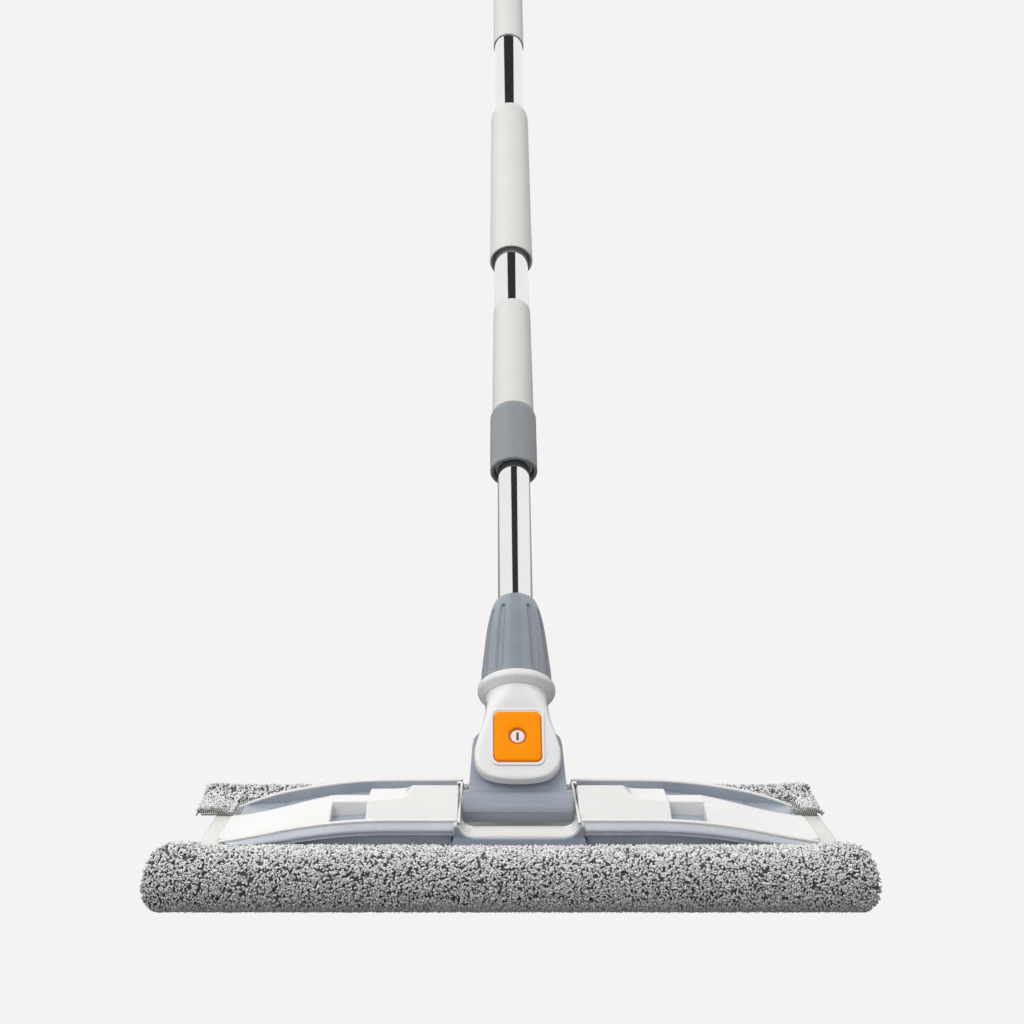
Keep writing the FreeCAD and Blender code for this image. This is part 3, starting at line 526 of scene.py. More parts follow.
def cone_piece():
    """The ogive nut, with four broad panels between its pairs of flutes."""
    count = 360
    turns = [2 * math.pi * k / count for k in range(count)]
    levels = [84.9, 85.1, 85.6] + steps_between(86.4, 91, 9) + steps_between(93, 136, 16)
    levels += steps_between(137.4, 142.4, 12) + steps_between(143.5, 149.5, 6)
    levels += [150.4, 151.2, 151.8, 152.2, 152.5]
    rings = []
    for along in levels:
        radius = cone_profile(along)
        radius -= 0.5 * max(0.0, (85.6 - along) / 0.7) ** 2
        radius -= 0.9 * max(0.0, along - 151.5) ** 2
        ring = []
        for turn in turns:
            r = radius - flute_depth(turn, along)
            ring.append(on_pole(r * math.cos(turn), r * math.sin(turn), along))
        rings.append(ring)
    for radius, along in ((12.4, 152.5), (12.4, 146.6), (14.0, 146.4), (17.4, 128.2),
                          (17.4, 84.9)):
        rings.append([on_pole(radius * math.cos(turn), radius * math.sin(turn), along)
                      for turn in turns])
    piece("cone_nut_look", *loft(rings, wrap_rings=True), "cone_nut_body", "nut_grey",
          ["cone_nut"], sharp=60)


def yoke_piece():
    outline = [(-30.7, 2.0), (30.7, 2.0), (29.4, 22.0), (28.3, 40.0)]
    for turn in steps_between(0, math.pi / 2, 8):
        outline.append((20.9 + 7 * math.cos(turn), 41 + 7 * math.sin(turn)))
    outline += [(-x, z) for x, z in reversed(outline[3:])] + [(-29.4, 22.0)]

    def place(a, b, height):
        return on_pole(a, height, b)

    piece("yoke_tongue", *rounded_slab(outline, -7, 7, 0.8, place), "yoke_body", "yoke_grey",
          ["yoke"])

    # The barrel is round above its seam and tucks in a little below it.
    section = []
    for k in range(72):
        turn = 2 * math.pi * k / 72
        y, z = math.cos(turn), math.sin(turn)
        section.append((10.0 * y, 10.0 * z if z > 0 else 9.6 * z))
    tucked = [(y * (0.975 - 0.42 * min(1.0, max(0.0, -z / 8.0)) ** 0.9) if z < 0 else y, z)
              for y, z in section]
    rings = []
    for x, inset in ((-33.8, 0.7), (-33.6, 0.35), (-33.1, 0.0), (33.1, 0.0), (33.6, 0.35),
                     (33.8, 0.7)):
        share = 1 - inset / 10
        rings.append([(x, y * share, PIVOT_Z + z * share) for y, z in tucked])
    for x in (33.8, -33.8):
        rings.append([(x, 5 * math.cos(2 * math.pi * k / 72),
                       PIVOT_Z + 5 * math.sin(2 * math.pi * k / 72)) for k in range(72)])
    piece("yoke_barrel", *loft(rings, wrap_rings=True), "yoke_body", "yoke_grey", sharp=24)


# --- tub ----------------------------------------------------------------------------------
# The tub's section by distance from the middle: place, wall top, floor, corner radius.
LIP = ((38.95, 53.6, 46.0, 8.0), (39.3, 53.6, 46.4, 8.0), (40.1, 53.5, 46.4, 8.0),
       (40.5, 53.3, 46.1, 8.1), (40.7, 53.0, 45.6, 8.4))
TUB_FRONT = ((16.0, 54.2, 35.6, 3.0), (20.6, 54.0, 35.8, 3.0), (21.5, 53.9, 43.6, 6.0),
             (22.0, 53.9, 45.0, 7.0), (22.8, 53.8, 45.7, 7.6), (24.0, 53.8, 46.2, 8.0),
             (30.0, 53.7, 45.5, 8.0), (36.4, 53.6, 44.7, 8.0), (38.0, 53.6, 44.7, 8.0),
             (38.7, 53.6, 45.3, 8.0)) + LIP
TUB_REAR = ((0.0, 54.2, 35.2, 3.0), (16.0, 54.2, 34.7, 3.0), (38.0, 53.6, 34.7, 3.0),
            (38.6, 53.6, 36.4, 6.0)) + LIP
TUB_INNER = 34.8
TUB_WALL = 1.3


def trough(half, top, floor, corner):
    """One side of a U-shaped section, from the top of its wall to the middle of its floor."""
    points = [(half, top - (top - floor - corner) * t) for t in steps_between(0, 1, 4)]
    for turn in steps_between(0, math.pi / 2, 12)[1:]:
        points.append((half - corner + corner * math.cos(turn),
                       floor + corner - corner * math.sin(turn)))
    points += [((half - corner) * (1 - t), floor) for t in steps_between(0, 1, 6)[1:]]
    return points


def tub_pieces():
    """The white tub, whose walls run into its lip, and the grey ears outside its corners."""
    rings = []
    for flip, stations in ((-1, reversed(TUB_FRONT)), (1, TUB_REAR)):
        for away, top, floor, corner in stations:
            inner = trough(TUB_INNER, top, floor, corner)
            outer = trough(TUB_INNER + TUB_WALL, top, floor - TUB_WALL, corner + TUB_WALL)
            loop = inner + [(-x, z) for x, z in reversed(inner[:-1])]
            loop += [(-x, z) for x, z in outer] + list(reversed(outer[:-1]))
            rings.append([(x, flip * away, z) for x, z in loop])
    verts, faces = loft(rings, capped=False)
    wide = len(rings[0])
    for first in (0, len(verts) - wide):
        faces += [(first + k, first + k + 1, first + wide - 2 - k, first + wide - 1 - k)
                  for k in range(wide // 2 - 1)]
    piece("tub_look", verts, faces, "head", "cover_white", ["centre_tub"], sharp=30)
    ears = []
    radius = 9.4
    curve = [(26.8 + radius * math.cos(t), 54.4 - radius * math.sin(t))
             for t in steps_between(0.3, 1.5, 12)]
    outline = [(27.4, 42.0), (37.9, 42.0), (38.1, 46.0), (38.1, 51.2), (37.6, 51.7)] + curve
    for side in (-1, 1):
        for flip in (-1, 1):
            ears.append(rounded_slab(outline, 39.2, 42.2, 0.5,
                                     lambda a, b, h: (side * a, flip * h, b), 3))
    # The ears take the darker chassis grey: painted shade.
    piece("chassis_ears", *joined(ears), "head", SLOT_OF["chassis"], material=CHASSIS_PAINTED_SHADE)


# --- wings ------------------------------------------------------------------------------
RIM_TOP = 55.4
RIM_ARCH = 345.0


def rim_height(x):
    along = max(0.0, x - 75.0)
    return RIM_TOP - RIM_ARCH + math.sqrt(RIM_ARCH ** 2 - along ** 2)


def rib_middle(x):
    t = max(0.0, (x - 145.0) / 33.0)
    return 38.4 - 7.9 * t ** 2.2


def rib_foot(x):
    lowest = 39.9 if x <= 145 else max(38.5, 39.9 - (x - 145) * 0.2)
    return max(lowest, rim_height(x) - 9.0)


def swept_rib(side, flip, x0, x1, section, count=64):
    """Sweeps a section, given as (offset, height) points by position, along the rib."""
    rings = []
    for x in steps_between(x0, x1, count):
        rings.append([(side * x, flip * (rib_middle(x) + off), z) for off, z in section(x)])
    return rings


def wing_ribs(word, side):
    """Each rib's grey wall and its thin white trim, with the frame's floor and skirt."""
    body = "wing_" + word
    tip = 176.0
    trim = 1.4

    def wall(x):
        low, high = rib_foot(x), rim_height(x) - trim
        high = max(high, low + 0.3)
        tall = high - low
        bead = min(0.8, 0.2 * tall)
        return [(0.5, high), (-1.5, high), (-1.5, low), (2.3, low), (2.5, low + 0.5 * bead),
                (2.1, low + bead), (2.1, low + 0.3 * tall), (1.9, low + 0.5 * tall),
                (1.4, low + 0.75 * tall), (1.0, low + 0.88 * tall)]

    def face(x):
        """The wall's outer face, which slopes outward below the trim; its lighter grey on the wall's
        upper part is painted light.
        """
        low, high = rib_foot(x), rim_height(x) - trim
        high = max(high, low + 0.3)
        tall = high - low
        low += 0.34 * tall
        return [(1.0, high), (-0.6, high), (-0.6, low), (2.5, low), (2.75, low + 0.1 * tall),
                (2.5, low + 0.22 * tall), (2.0, low + 0.38 * tall)]

    def rim(x):
        high = rim_height(x)
        low = max(high - trim, 38.45)
        return softened([(-1.5, low), (1.45, low), (1.45, high), (-1.5, high)], 0.4, 3)

    walls, rims, faces = [], [], []
    for flip in (1, -1):
        walls.append(loft(swept_rib(side, flip, 38.4, tip, wall)))
        rims.append(loft(swept_rib(side, flip, 36.3, 178.0, rim)))
        faces.append(loft(swept_rib(side, flip, 38.45, tip - 0.5, face)))
        skirt = []
        for x in steps_between(39.6, 139, 24):
            top = max(rib_foot(x) + 0.5, 40.5)
            skirt.append([(side * x, flip * y, z) for y, z in ((36.9, 39.9), (38.9, 39.9),
                                                               (38.9, top), (36.9, top))])
        walls.append(loft(skirt))
    floor = []
    for x in steps_between(44.5, 145, 24):
        foot = rib_foot(x)
        floor.append([(side * x, y, z) for y, z in ((-37.2, foot), (37.2, foot),
                                                    (37.2, foot + 1.6), (-37.2, foot + 1.6))])
    walls.append(loft(floor))
    tip_floor = [[(side * x, y, z) for y, z in ((-half, 38.5), (half, 38.5), (half, 40.0),
                                                (-half, 40.0))]
                 for x, half in ((144, 37.2), (154, 36.4), (164, 35.0), (168, 33.6), (174, 31.0))]
    walls.append(loft(tip_floor))
    piece("rib_walls_" + word, *joined(walls), body, "frame_grey", ["wing_frame_" + word])
    # The faces take the lighter grey: painted light on the upper wall.
    piece("rib_faces_" + word, *joined(faces), body, "frame_grey", material=RIB_FACE_PAINTED_LIGHT)
    piece("rib_rims_" + word, *joined(rims), body, "cover_white", ["wing_rims_" + word])


def joined(parts):
    verts, faces = [], []
    for part_verts, part_faces in parts:
        base = len(verts)
        verts += part_verts
        faces += [tuple(base + i for i in face) for face in part_faces]
    return verts, faces


def soft_min(a, b, blend):
    h = max(0.0, min(1.0, 0.5 + 0.5 * (b - a) / blend))
    return b * (1 - h) + a * h - blend * h * (1 - h)


def relief(x0, x1, half_y, height, foot, radius, columns, rows=56):
    """A closed shell under a height field, its rim rounded, its underside flat."""
    arc = [math.pi / 2 * k / 4 for k in range(5)]

    def rail(low, high, count):
        core = steps_between(low + radius, high - radius, count)
        start = [(core[0] - radius * math.sin(t), radius * (1 - math.cos(t)))
                 for t in reversed(arc[1:])]
        end = [(core[-1] + radius * math.sin(t), radius * (1 - math.cos(t))) for t in arc[1:]]
        return start + [(v, 0.0) for v in core] + end

    xs = rail(x0, x1, columns)
    top = []
    for x, drop_x in xs:
        inner_x = min(max(x, x0 + radius), x1 - radius)
        half = half_y(x)
        line = []
        for y, drop_y in rail(-half, half, rows):
            inner_y = min(max(y, -half + radius), half - radius)
            z = height(inner_x, inner_y) - drop_x - drop_y
            line.append((x, y, z))
        top.append(line)
    bottom = [[(x, y, min(foot(x), z - 0.7)) for x, y, z in line] for line in top]
    wide = len(top[0])
    verts = [p for line in top for p in line] + [p for line in bottom for p in line]
    lower = len(top) * wide
    faces = []
    for i in range(len(top) - 1):
        for j in range(wide - 1):
            a, b = i * wide + j, i * wide + j + 1
            faces.append((a, b, b + wide, a + wide))
            faces.append((lower + a, lower + a + wide, lower + b + wide, lower + b))
    for i in range(len(top) - 1):
        for j in (0, wide - 1):
            a, b = i * wide + j, (i + 1) * wide + j
            faces.append((a, b, lower + b, lower + a))
    for j in range(wide - 1):
        for i in (0, len(top) - 1):
            a, b = i * wide + j, i * wide + j + 1
            faces.append((a, b, lower + b, lower + a))
    return verts, faces


SCOOP = ((60.0, 70.0), (63.4, 64.6), (65.0, 62.9), (66.6, 61.4), (68.4, 59.9), (70.6, 58.9),
         (73.5, 58.2), (78.0, 57.9), (92.0, 57.4))
SPINE_TOP = ((112.5, 54.5), (130, 50.6), (143, 47.3), (155, 44.4), (168, 41.9), (179.0, 40.4))
SPINE_SLOPE = 0.5


def panel_height(x, y):
    gable = 63.9 - 0.52 * math.sqrt(y * y + 0.8)
    return soft_min(gable, smooth_between(x, SCOOP), 0.45)


def spine_height(x, y):
    """A flat top, a slope in front that runs out to the rib and a steeper one behind."""
    past = abs(y) - 11.0
    reach = 0.5 * (past + math.sqrt(past * past + 1.2))
    top = smooth_between(x, SPINE_TOP)
    slope = SPINE_SLOPE if y > 0 else min(SPINE_SLOPE, (top - 40.7) / (rib_middle(x) - 12.8))
    return max(top - slope * reach, 38.8)


def wing_cover(word, side):
    def inner(x):
        return rib_middle(x) - 2.0

    def frame_floor(x):
        if x < 145:
            return rib_foot(x) + 1.62
        return between(x, ((145, 40.1), (174, 40.1), (175, 38.7)))

    panel = relief(36.35, 91.5, inner, panel_height, lambda x: 56.5 if x < 37.9 else 47.45,
                   0.9, 76)
    web = relief(90.8, 113.6, lambda x: 6.5, lambda x, y: 55.4, frame_floor, 0.6, 12, 8)
    spine = relief(113.0, 179.0, inner, spine_height, lambda x: 38.6, 0.6, 60)
    verts, faces = joined([panel, web, spine])
    verts = [(side * x, y, z) for x, y, z in verts]
    piece("wing_cover_look_" + word, verts, faces, "wing_" + word, "cover_white",
          ["wing_cover_" + word])


# --- cloth ------------------------------------------------------------------------------
# The cloth's ground along its wrapped section, from the front hem round to the rear hem:
# its place across the head, its height, and half its length there.
WRAP = ((-27.0, 38.9, 172.0), (-36.0, 38.9, 174.0), (-43.0, 39.3, 182.0), (-47.0, 40.6, 191.0),
        (-51.0, 41.4, 199.0), (-55.5, 41.0, 204.0), (-60.0, 38.9, 206.5), (-63.4, 34.8, 208.0),
        (-65.2, 30.0, 208.8), (-65.9, 25.0, 209.2), (-65.5, 20.0, 208.8), (-63.8, 15.6, 208.0),
        (-60.5, 12.2, 207.4), (-55.5, 9.4, 207.4), (-49.0, 6.7, 207.4), (-42.0, 4.4, 207.0),
        (-35.0, 3.4, 206.0), (0.0, 3.4, 200.0), (35.0, 3.4, 193.0), (46.0, 4.4, 192.5),
        (55.5, 8.0, 192.5), (61.5, 12.2, 192.5), (64.6, 18.0, 192.5), (65.4, 25.0, 193.0),
        (65.0, 32.0, 194.2), (63.4, 38.0, 196.5), (60.0, 42.2, 197.4), (55.5, 43.7, 197.4),
        (50.0, 43.0, 197.4), (44.0, 40.9, 197.4), (38.0, 39.2, 197.4), (30.0, 38.9, 197.4),
        (18.0, 38.9, 197.4))
HOUSING = 46.0
CURL = 3.2


def wrap_path(step):
    """Evenly spaced (place, half length) along the cloth's wrapped section."""
    dense = []
    for k in range(len(WRAP) - 1):
        p0, p1, p2, p3 = (Vector(WRAP[min(max(i, 0), len(WRAP) - 1)])
                          for i in (k - 1, k, k + 1, k + 2))
        for s in range(24):
            t = s / 24
            a = 2 * p1 + (p2 - p0) * t + (2 * p0 - 5 * p1 + 4 * p2 - p3) * t * t
            dense.append(0.5 * (a + (3 * p1 - p0 - 3 * p2 + p3) * t ** 3))
    dense.append(Vector(WRAP[-1]))
    lengths = [0.0]
    for a, b in zip(dense, dense[1:]):
        lengths.append(lengths[-1] + math.hypot(b.x - a.x, b.y - a.y))
    count = max(2, round(lengths[-1] / step))
    marks = np.linspace(0, lengths[-1], count + 1)
    columns = [np.interp(marks, lengths, [p[i] for p in dense]) for i in range(3)]
    return [(Vector((y, z)), half) for y, z, half in zip(*columns)], lengths[-1]


def sheet_point(place, out, half, x):
    """Where a point of the ground lies: curled in at the cloth's ends, and risen where no
    wing holds the flap down."""
    y, z = place
    curl = max(0.0, (abs(x) - (half - CURL)) / CURL)
    inward = 0.8 * CURL * (1 - math.sqrt(max(0.0, 1 - min(1.0, curl) ** 2)))
    y, z = y - out.x * inward, z - out.y * inward
    if z > 36 and abs(y) < 62:
        free = min(1.0, max(0.0, (abs(x) - 176) / 12))
        swell = 3.0 if y < 0 else 1.6
        z += swell * free * free * (3 - 2 * free) * min(1.0, (62 - abs(y)) / 8)
    return x + CLOTH_SHIFT, y, z


CLOTH_SHIFT = -5.2


def wrap_normals(path):
    normals = []
    for k in range(len(path)):
        ahead = path[min(len(path) - 1, k + 1)][0] - path[max(0, k - 1)][0]
        ahead.normalize()
        normals.append(Vector((ahead.y, -ahead.x)))
    return normals


def in_housing(x, y, z):
    """The opening in the flaps for the head's middle."""
    return z > 30 and abs(y) < 48 and abs(x) < HOUSING + 0.5


def cloth_pieces():
    rng = np.random.default_rng(11)
    path, length = wrap_path(3.0)
    normals = wrap_normals(path)
    columns = np.concatenate([np.linspace(-1, -0.93, 9), np.linspace(-0.93, 0.93, 121)[1:-1],
                              np.linspace(0.93, 1, 9)])
    thickness = 1.3
    grid = [[sheet_point(place, normals[k], half, c * half) for c in columns]
            for k, (place, half) in enumerate(path)]
    verts, faces, inside = [], [], []
    index = {}

    def vertex(layer, i, j):
        key = (layer, i, j)
        if key not in index:
            x, y, z = grid[i][j]
            lift = 0.5 * thickness * (1 if layer else -1)
            index[key] = len(verts)
            verts.append((x, y + normals[i].x * lift, z + normals[i].y * lift))
        return index[key]

    def middle(i, j):
        return [sum(grid[a][b][axis] for a in (i, i + 1) for b in (j, j + 1)) / 4
                for axis in range(3)]

    cells = {(i, j) for i in range(len(path) - 1) for j in range(len(columns) - 1)
             if not in_housing(*middle(i, j))}
    for i, j in sorted(cells):
        corners = ((i, j), (i, j + 1), (i + 1, j + 1), (i + 1, j))
        faces.append(tuple(vertex(1, *c) for c in corners))
        faces.append(tuple(vertex(0, *c) for c in reversed(corners)))
        inside += [False, True]
        for a, b, near in ((0, 1, (i - 1, j)), (1, 2, (i, j + 1)), (2, 3, (i + 1, j)),
                           (3, 0, (i, j - 1))):
            if near not in cells:
                a, b = corners[a], corners[b]
                faces.append((vertex(1, *a), vertex(0, *a), vertex(0, *b), vertex(1, *b)))
                inside.append(False)
    # The outer face takes the darkened knit, as painted shade between the tufts; the inner face takes
    # the lining.
    backing = piece("cloth_backing_sheet", verts, faces, "head", "pile_grey", ["mop_cloth"],
                    BACKING_PAINTED_SHADE)
    backing.data.materials.append(LINING)
    for face, lined in zip(backing.data.polygons, inside):
        face.material_index = int(lined)
    tufts = tuft_pieces(path, normals, rng)
    edge = hem_stitches(rng)


# Where each region's tufts grow, how far apart, and how long they are.
PILE = {
    "front_roll_left": (1.03, 3.0), "front_roll_right": (1.03, 3.0), "rear_roll": (1.6, 3.0),
    "rear_flap": (1.08, 2.6), "front_flap": (1.6, 2.9), "sole": (2.4, 2.2),
}


def region(x, y, z):
    if z > 36 and abs(y) < 49:
        return "front_flap" if y < 0 else "rear_flap"
    if z < 9 and abs(y) < 48:
        return "sole"
    if y > 0:
        return "rear_roll"
    return "front_roll_left" if x < 0 else "front_roll_right"


def tuft_pieces(path, normals, rng):
    """Short yarn tufts over the cloth's outer face, in one mesh per region."""
    roots = {name: [] for name in PILE}
    finest = min(gap for gap, _ in PILE.values())
    for k, ((a, half), (b, _)) in enumerate(zip(path, path[1:])):
        count = int((b - a).length * 2 * half / finest ** 2)
        along, across, keep = rng.random(count), rng.random(count) * 2 - 1, rng.random(count)
        for u, v, chance in zip(along, across, keep):
            x, y, z = sheet_point(a + (b - a) * u, normals[k], half, v * half)
            spot = region(x, a.x, a.y)
            if in_housing(x, y, z) or chance > (finest / PILE[spot][0]) ** 2:
                continue
            roots[spot].append((x, y, z, normals[k].x, normals[k].y, half * (1 - abs(v))))
    return [tuft_mesh(name, np.array(roots[name]), rng) for name in PILE]


def under_wing(strands):
    """True where a wing lies on the cloth, so that the pile is pressed flat."""
    x, y, z = strands[:, 0], strands[:, 1], strands[:, 2]
    return (np.abs(x) < 179) & (np.abs(y) < 42.5) & (z > 30)


def tuft_mesh(spot, strands, rng):
    count = len(strands)
    base = strands[:, :3].copy()
    normal = np.stack([np.zeros(count), strands[:, 3], strands[:, 4]], 1)
    end_side = np.sign(strands[:, 0] - CLOTH_SHIFT)
    near_end = np.clip(1 - strands[:, 5] / CURL, 0, 1)
    normal[:, 0] += 1.6 * near_end ** 1.5 * end_side
    normal /= np.linalg.norm(normal, axis=1)[:, None]
    wander = rng.normal(size=(count, 3))
    wander -= normal * (wander * normal).sum(1)[:, None]
    droop = np.array([0.0, 0.0, -0.25 if spot != "sole" else 0.0])
    # How far each tuft faces up or down, for the painted light below; the rear flap gets less of it.
    facing_up = np.clip(strands[:, 4], 0, 1) * (0.7 if spot == "rear_flap" else 1.0)
    facing_down = np.clip(-strands[:, 4], 0, 1)
    length = PILE[spot][1] * (0.9 + 0.2 * rng.random(count)) * (1 - 0.35 * near_end)
    width = 0.58 * (0.8 + 0.4 * rng.random(count))
    pressed = under_wing(strands)
    length = np.where(pressed, 0.9, length)
    width = np.where(pressed, 0.35, width)
    first = normal + 0.18 * wander + 0.3 * droop
    second = normal * 0.6 + 0.62 * wander + droop
    first /= np.linalg.norm(first, axis=1)[:, None]
    second /= np.linalg.norm(second, axis=1)[:, None]
    root = base + normal * 0.3
    middle = root + first * (0.55 * length)[:, None]
    tip = middle + second * (0.45 * length)[:, None]
    side_a = np.cross(first, rng.normal(size=(count, 3)))
    side_a /= np.linalg.norm(side_a, axis=1)[:, None]
    side_b = np.cross(first, side_a)
    sides = 4
    rings = []
    for centre, scale in ((root, 0.75), (middle, 1.0), (middle * 0.35 + tip * 0.65, 0.92)):
        for turn in range(sides):
            c, s = math.cos(2 * math.pi * turn / sides), math.sin(2 * math.pi * turn / sides)
            rings.append(centre + (side_a * c + side_b * s) * (width * scale)[:, None])
    rings.append(tip)
    points = np.stack(rings, 1)
    points[:, :, 2] = np.maximum(points[:, :, 2], 0.05)
    per = points.shape[1]
    quads = [(level * sides + k, level * sides + (k + 1) % sides,
              (level + 1) * sides + (k + 1) % sides, (level + 1) * sides + k)
             for level in range(2) for k in range(sides)]
    tris = [(2 * sides + k, 2 * sides + (k + 1) % sides, 3 * sides) for k in range(sides)]
    shift = np.arange(count)[:, None] * per
    pattern = np.concatenate([np.array(quads).reshape(-1), np.array(tris).reshape(-1)])
    loops = (pattern[None] + shift).reshape(-1)
    totals = np.tile([4] * len(quads) + [3] * len(tris), count)
    mesh = bpy.data.meshes.new("pile_" + spot)
    mesh.vertices.add(count * per)
    mesh.vertices.foreach_set("co", (points.reshape(-1) * MM).astype(np.float32))
    mesh.loops.add(len(loops))
    mesh.loops.foreach_set("vertex_index", loops.astype(np.int32))
    mesh.polygons.add(len(totals))
    mesh.polygons.foreach_set("loop_start", (np.cumsum(totals) - totals).astype(np.int32))
    mesh.update(calc_edges=True)
    mesh.shade_smooth()
    # Tufts that face up or down are made lighter: painted light.
    mean_shade = 0.75 + 0.18 * facing_up + 0.15 * facing_down
    shade_spread = 0.20 - 0.1 * facing_up
    shade = np.clip(rng.normal(mean_shade, shade_spread), 0.15, 1.0)
    # Each tuft darkens towards its root, less where it faces up: painted shade.
    depth = np.array([0.0] * sides + [0.8] * sides + [1.0] * sides + [1.0])[None]
    depth = depth + (1 - depth) * (0.3 + 0.35 * facing_up)[:, None]
    tone = mesh.attributes.new("tone", "FLOAT", "POINT")
    tone.data.foreach_set("value", (shade[:, None] * depth).reshape(-1).astype(np.float32))
    obj = bpy.data.objects.new("pile_" + spot, mesh)
    bpy.context.scene.collection.objects.link(obj)
    mesh.materials.append(MATERIALS["pile_grey"])
    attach(obj, "head")
    return obj


def hem_stitches(rng):
    """Slanted overlock threads that wrap the rear hem."""
    parts = []
    hem_y, low, high = 17.6, 38.3, 42.6
    sections = 6
    for side in (-1, 1):
        x = HOUSING + 3
        while x < 194:
            thick = 0.42
            rings = []
            tall = high if x > 176 else 39.6
            route = [(x, hem_y + 1.4, low), (x + 0.2, hem_y - 0.2, low + 0.3),
                     (x + 0.9, hem_y - 0.5, 0.5 * (low + tall)), (x + 1.6, hem_y - 0.1, tall - 0.4),
                     (x + 1.8, hem_y + 1.6, tall)]
            for px, py, pz in route:
                rings.append([(side * px + CLOTH_SHIFT + thick * math.cos(2 * math.pi * k / sections),
                               py + 0.3 * thick * math.sin(2 * math.pi * k / sections),
                               pz + thick * math.sin(2 * math.pi * k / sections))
                              for k in range(sections)])
            parts.append(loft(rings))
            x += 1.25 + 0.1 * rng.random()
    return piece("hem_overlock", *joined(parts), "head", "pile_grey", material=BINDING, sharp=80)


# --- foam pad ---------------------------------------------------------------------------
def pad_piece():
    outline = rounded_rectangle(187.2, 51.7, 9.0)
    piece_verts = rounded_slab(outline, 6.2, 23.7, 2.4, lambda a, b, h: (a, b, h))
    pad = piece("foam_pad", *piece_verts, "head", "pad_foam", ["sponge_pad"])


# --- carried CAD nodes --------------------------------------------------------------------
SLOT_OF = {s["node"]: s["material_slot"] for s in frame["record"]["subparts"]}
HEAD_NODES = ("base_plate", "chassis")


def dress_nodes():
    for name, obj in frame["nodes"].items():
        obj.data.materials.clear()
        obj.data.materials.append(MATERIALS[SLOT_OF[name]])


def softened_copy(node, width):
    """Stands for a CAD node with its own shape, its sharp edges slightly rounded."""
    source = frame["nodes"][node]
    mesh = source.data.copy()
    mesh.name = node + "_look"
    work = bmesh.new()
    work.from_mesh(mesh)
    bmesh.ops.transform(work, matrix=source.matrix_world, verts=work.verts)
    bmesh.ops.remove_doubles(work, verts=work.verts, dist=2e-5)
    bmesh.ops.dissolve_limit(work, angle_limit=math.radians(3), verts=work.verts,
                             edges=work.edges)
    work.to_mesh(mesh)
    work.free()
    obj = bpy.data.objects.new(node + "_look", mesh)
    bpy.context.scene.collection.objects.link(obj)
    bevel = obj.modifiers.new("soft_edges", "BEVEL")
    bevel.width = width * MM
    bevel.segments = 3
    bevel.limit_method = "ANGLE"
    bevel.angle_limit = math.radians(38)
    bevel.harden_normals = False
    evaluated = obj.evaluated_get(bpy.context.evaluated_depsgraph_get())
    baked = bpy.data.meshes.new_from_object(evaluated)
    obj.modifiers.clear()
    obj.data = baked
    baked.shade_smooth()
    baked.set_sharp_from_angle(angle=math.radians(38))
    slot = SLOT_OF[node]
    baked.materials.clear()
    # The chassis takes a darker copy of its grey: painted shade.
    baked.materials.append(CHASSIS_PAINTED_SHADE if node == "chassis" else MATERIALS[slot])
    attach(obj, "head" if node in HEAD_NODES else "handle_upper")
    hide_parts(node)


# --- stage ----------------------------------------------------------------------------------
BACKDROP = 0.896
# In metres; low enough that the head never swings or slides down through the floor.
FLOOR_LEVEL = -0.7
LENS_PIXELS = 1300.0
IMAGE_PIXELS = 1024.0
SENSOR = 36.0


def make_camera():
    data = bpy.data.cameras.new("camera")
    camera = bpy.data.objects.new("camera", data)
    bpy.context.scene.collection.objects.link(camera)
    data.sensor_width = SENSOR
    data.lens = SENSOR * LENS_PIXELS / IMAGE_PIXELS
    data.shift_x = 17.5 / IMAGE_PIXELS
    data.clip_end = 50
    camera.location = (-0.0144, -0.7765, 0.3141)
    camera.rotation_euler = (math.radians(90 - 6.016), 0, 0)
    bpy.context.scene.camera = camera


def area_light(name, location, target, size, power, colour=(1, 1, 1)):
    data = bpy.data.lights.new(name, "AREA")
    data.shape = "RECTANGLE"
    data.size, data.size_y = size
    data.energy = power
    data.color = colour
    lamp = bpy.data.objects.new(name, data)
    bpy.context.scene.collection.objects.link(lamp)
    lamp.location = location
    aim = Vector(target) - Vector(location)
    lamp.rotation_euler = aim.to_track_quat("-Z", "Y").to_euler()
    lamp.visible_glossy = False


def make_world():
    """Light and reflections: a bright sky, whiter on the left, over a dark ground."""
    world = bpy.data.worlds.new("studio")
    bpy.context.scene.world = world
    world.use_nodes = True
    nodes, links = world.node_tree.nodes, world.node_tree.links
    direction = nodes.new("ShaderNodeTexCoord").outputs["Generated"]
    split = nodes.new("ShaderNodeSeparateXYZ")
    links.new(direction, split.inputs["Vector"])

    def mapped(source, start, end, low, high):
        band = nodes.new("ShaderNodeMapRange")
        band.inputs["From Min"].default_value = start
        band.inputs["From Max"].default_value = end
        band.inputs["To Min"].default_value = low
        band.inputs["To Max"].default_value = high
        links.new(split.outputs[source], band.inputs["Value"])
        return band.outputs["Result"]

    stops = ((0.0, (0.06, 0.06, 0.07)), (0.3, (0.60, 0.60, 0.61)), (1.0, (1.0, 1.0, 1.0)))
    colour = ramp(nodes, links, mapped("Z", -0.25, 1.0, 0.0, 1.0), stops)
    links.new(colour, nodes["Background"].inputs["Color"])
    links.new(mapped("X", -0.9, 0.9, 1.25, 0.72), nodes["Background"].inputs["Strength"])


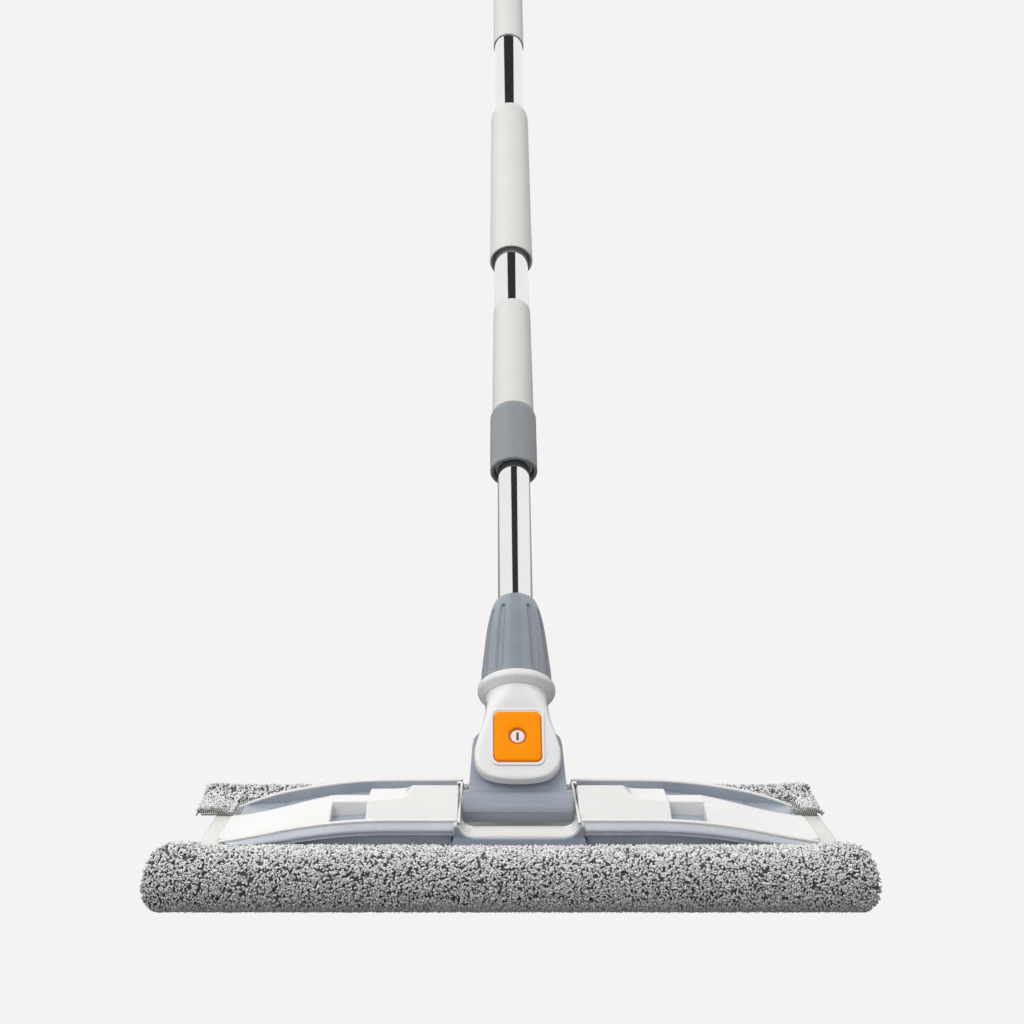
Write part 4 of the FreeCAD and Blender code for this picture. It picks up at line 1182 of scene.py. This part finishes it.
def reflection_material():
    """What shiny surfaces see: a pale room above a dark horizon."""
    material = bpy.data.materials.new("reflections")
    material.use_nodes = True
    nodes, links = material.node_tree.nodes, material.node_tree.links
    nodes.clear()
    split = nodes.new("ShaderNodeSeparateXYZ")
    links.new(nodes.new("ShaderNodeTexCoord").outputs["Object"], split.inputs["Vector"])
    height = nodes.new("ShaderNodeMapRange")
    height.inputs["From Min"].default_value = -1.0
    height.inputs["From Max"].default_value = 4.0
    links.new(split.outputs["Z"], height.inputs["Value"])
    glow = nodes.new("ShaderNodeEmission")
    stops = ((0.0, (0.30, 0.30, 0.31)), (0.45, (0.45, 0.45, 0.46)), (0.85, (0.94, 0.94, 0.94)))
    links.new(ramp(nodes, links, height.outputs["Result"], stops), glow.inputs["Color"])
    output = nodes.new("ShaderNodeOutputMaterial")
    links.new(glow.outputs["Emission"], output.inputs["Surface"])
    return material


def unlit(name, tone):
    """A material that glows evenly, for the stage only."""
    material = bpy.data.materials.new(name)
    material.use_nodes = True
    nodes, links = material.node_tree.nodes, material.node_tree.links
    nodes.clear()
    glow = nodes.new("ShaderNodeEmission")
    glow.inputs["Color"].default_value = (tone, tone, tone, 1)
    output = nodes.new("ShaderNodeOutputMaterial")
    links.new(glow.outputs["Emission"], output.inputs["Surface"])
    return material


def stage_piece(name, mesh, material, camera_only):
    """Part of the studio, seen either by the camera or by shiny surfaces."""
    obj = bpy.data.objects.new(name, mesh)
    bpy.context.scene.collection.objects.link(obj)
    mesh.materials.append(material)
    obj.visible_camera = camera_only
    obj.visible_glossy = not camera_only
    obj.visible_diffuse = False
    obj.visible_shadow = False
    obj.visible_transmission = False


def make_stage():
    def flat(name, x0, x1, y0, y1, z):
        mesh = bpy.data.meshes.new(name)
        mesh.from_pydata([(x0, y0, z), (x1, y0, z), (x1, y1, z), (x0, y1, z)], [], [(0, 1, 2, 3)])
        return mesh

    def sphere(name, radius):
        mesh = bpy.data.meshes.new(name)
        work = bmesh.new()
        bmesh.ops.create_uvsphere(work, u_segments=48, v_segments=24, radius=radius)
        work.to_mesh(mesh)
        work.free()
        return mesh

    backdrop = unlit("backdrop", BACKDROP)
    stage_piece("floor", flat("floor", -18, 18, -18, 18, FLOOR_LEVEL), backdrop, True)
    stage_piece("backdrop", sphere("backdrop", 26), backdrop, True)
    stage_piece("room", sphere("room", 22), reflection_material(), False)
    stage_piece("dark_strip", flat("dark_strip", -0.72, 0.72, -3, 4, 2.6),
                unlit("dark_strip", 0.03), False)
    bpy.context.scene.view_settings.view_transform = "Standard"


def main():
    dress_nodes()
    for node in HEAD_NODES:
        softened_copy(node, 0.5)
    softened_copy("hanging_cap", 0.8)
    pole_pieces()
    neck_pieces()
    cone_piece()
    yoke_piece()
    tub_pieces()
    for word, side in SIDES:
        wing_ribs(word, side)
        wing_cover(word, side)
    cloth_pieces()
    pad_piece()
    make_world()
    make_stage()
    make_camera()
    area_light("key", (-0.9, -0.7, 1.6), (0, 0, 0.1), (0.8, 0.8), 9.0)
    area_light("top", (-0.1, 0.1, 1.8), (0, 0, 0.1), (1.2, 1.0), 5.0)


main()
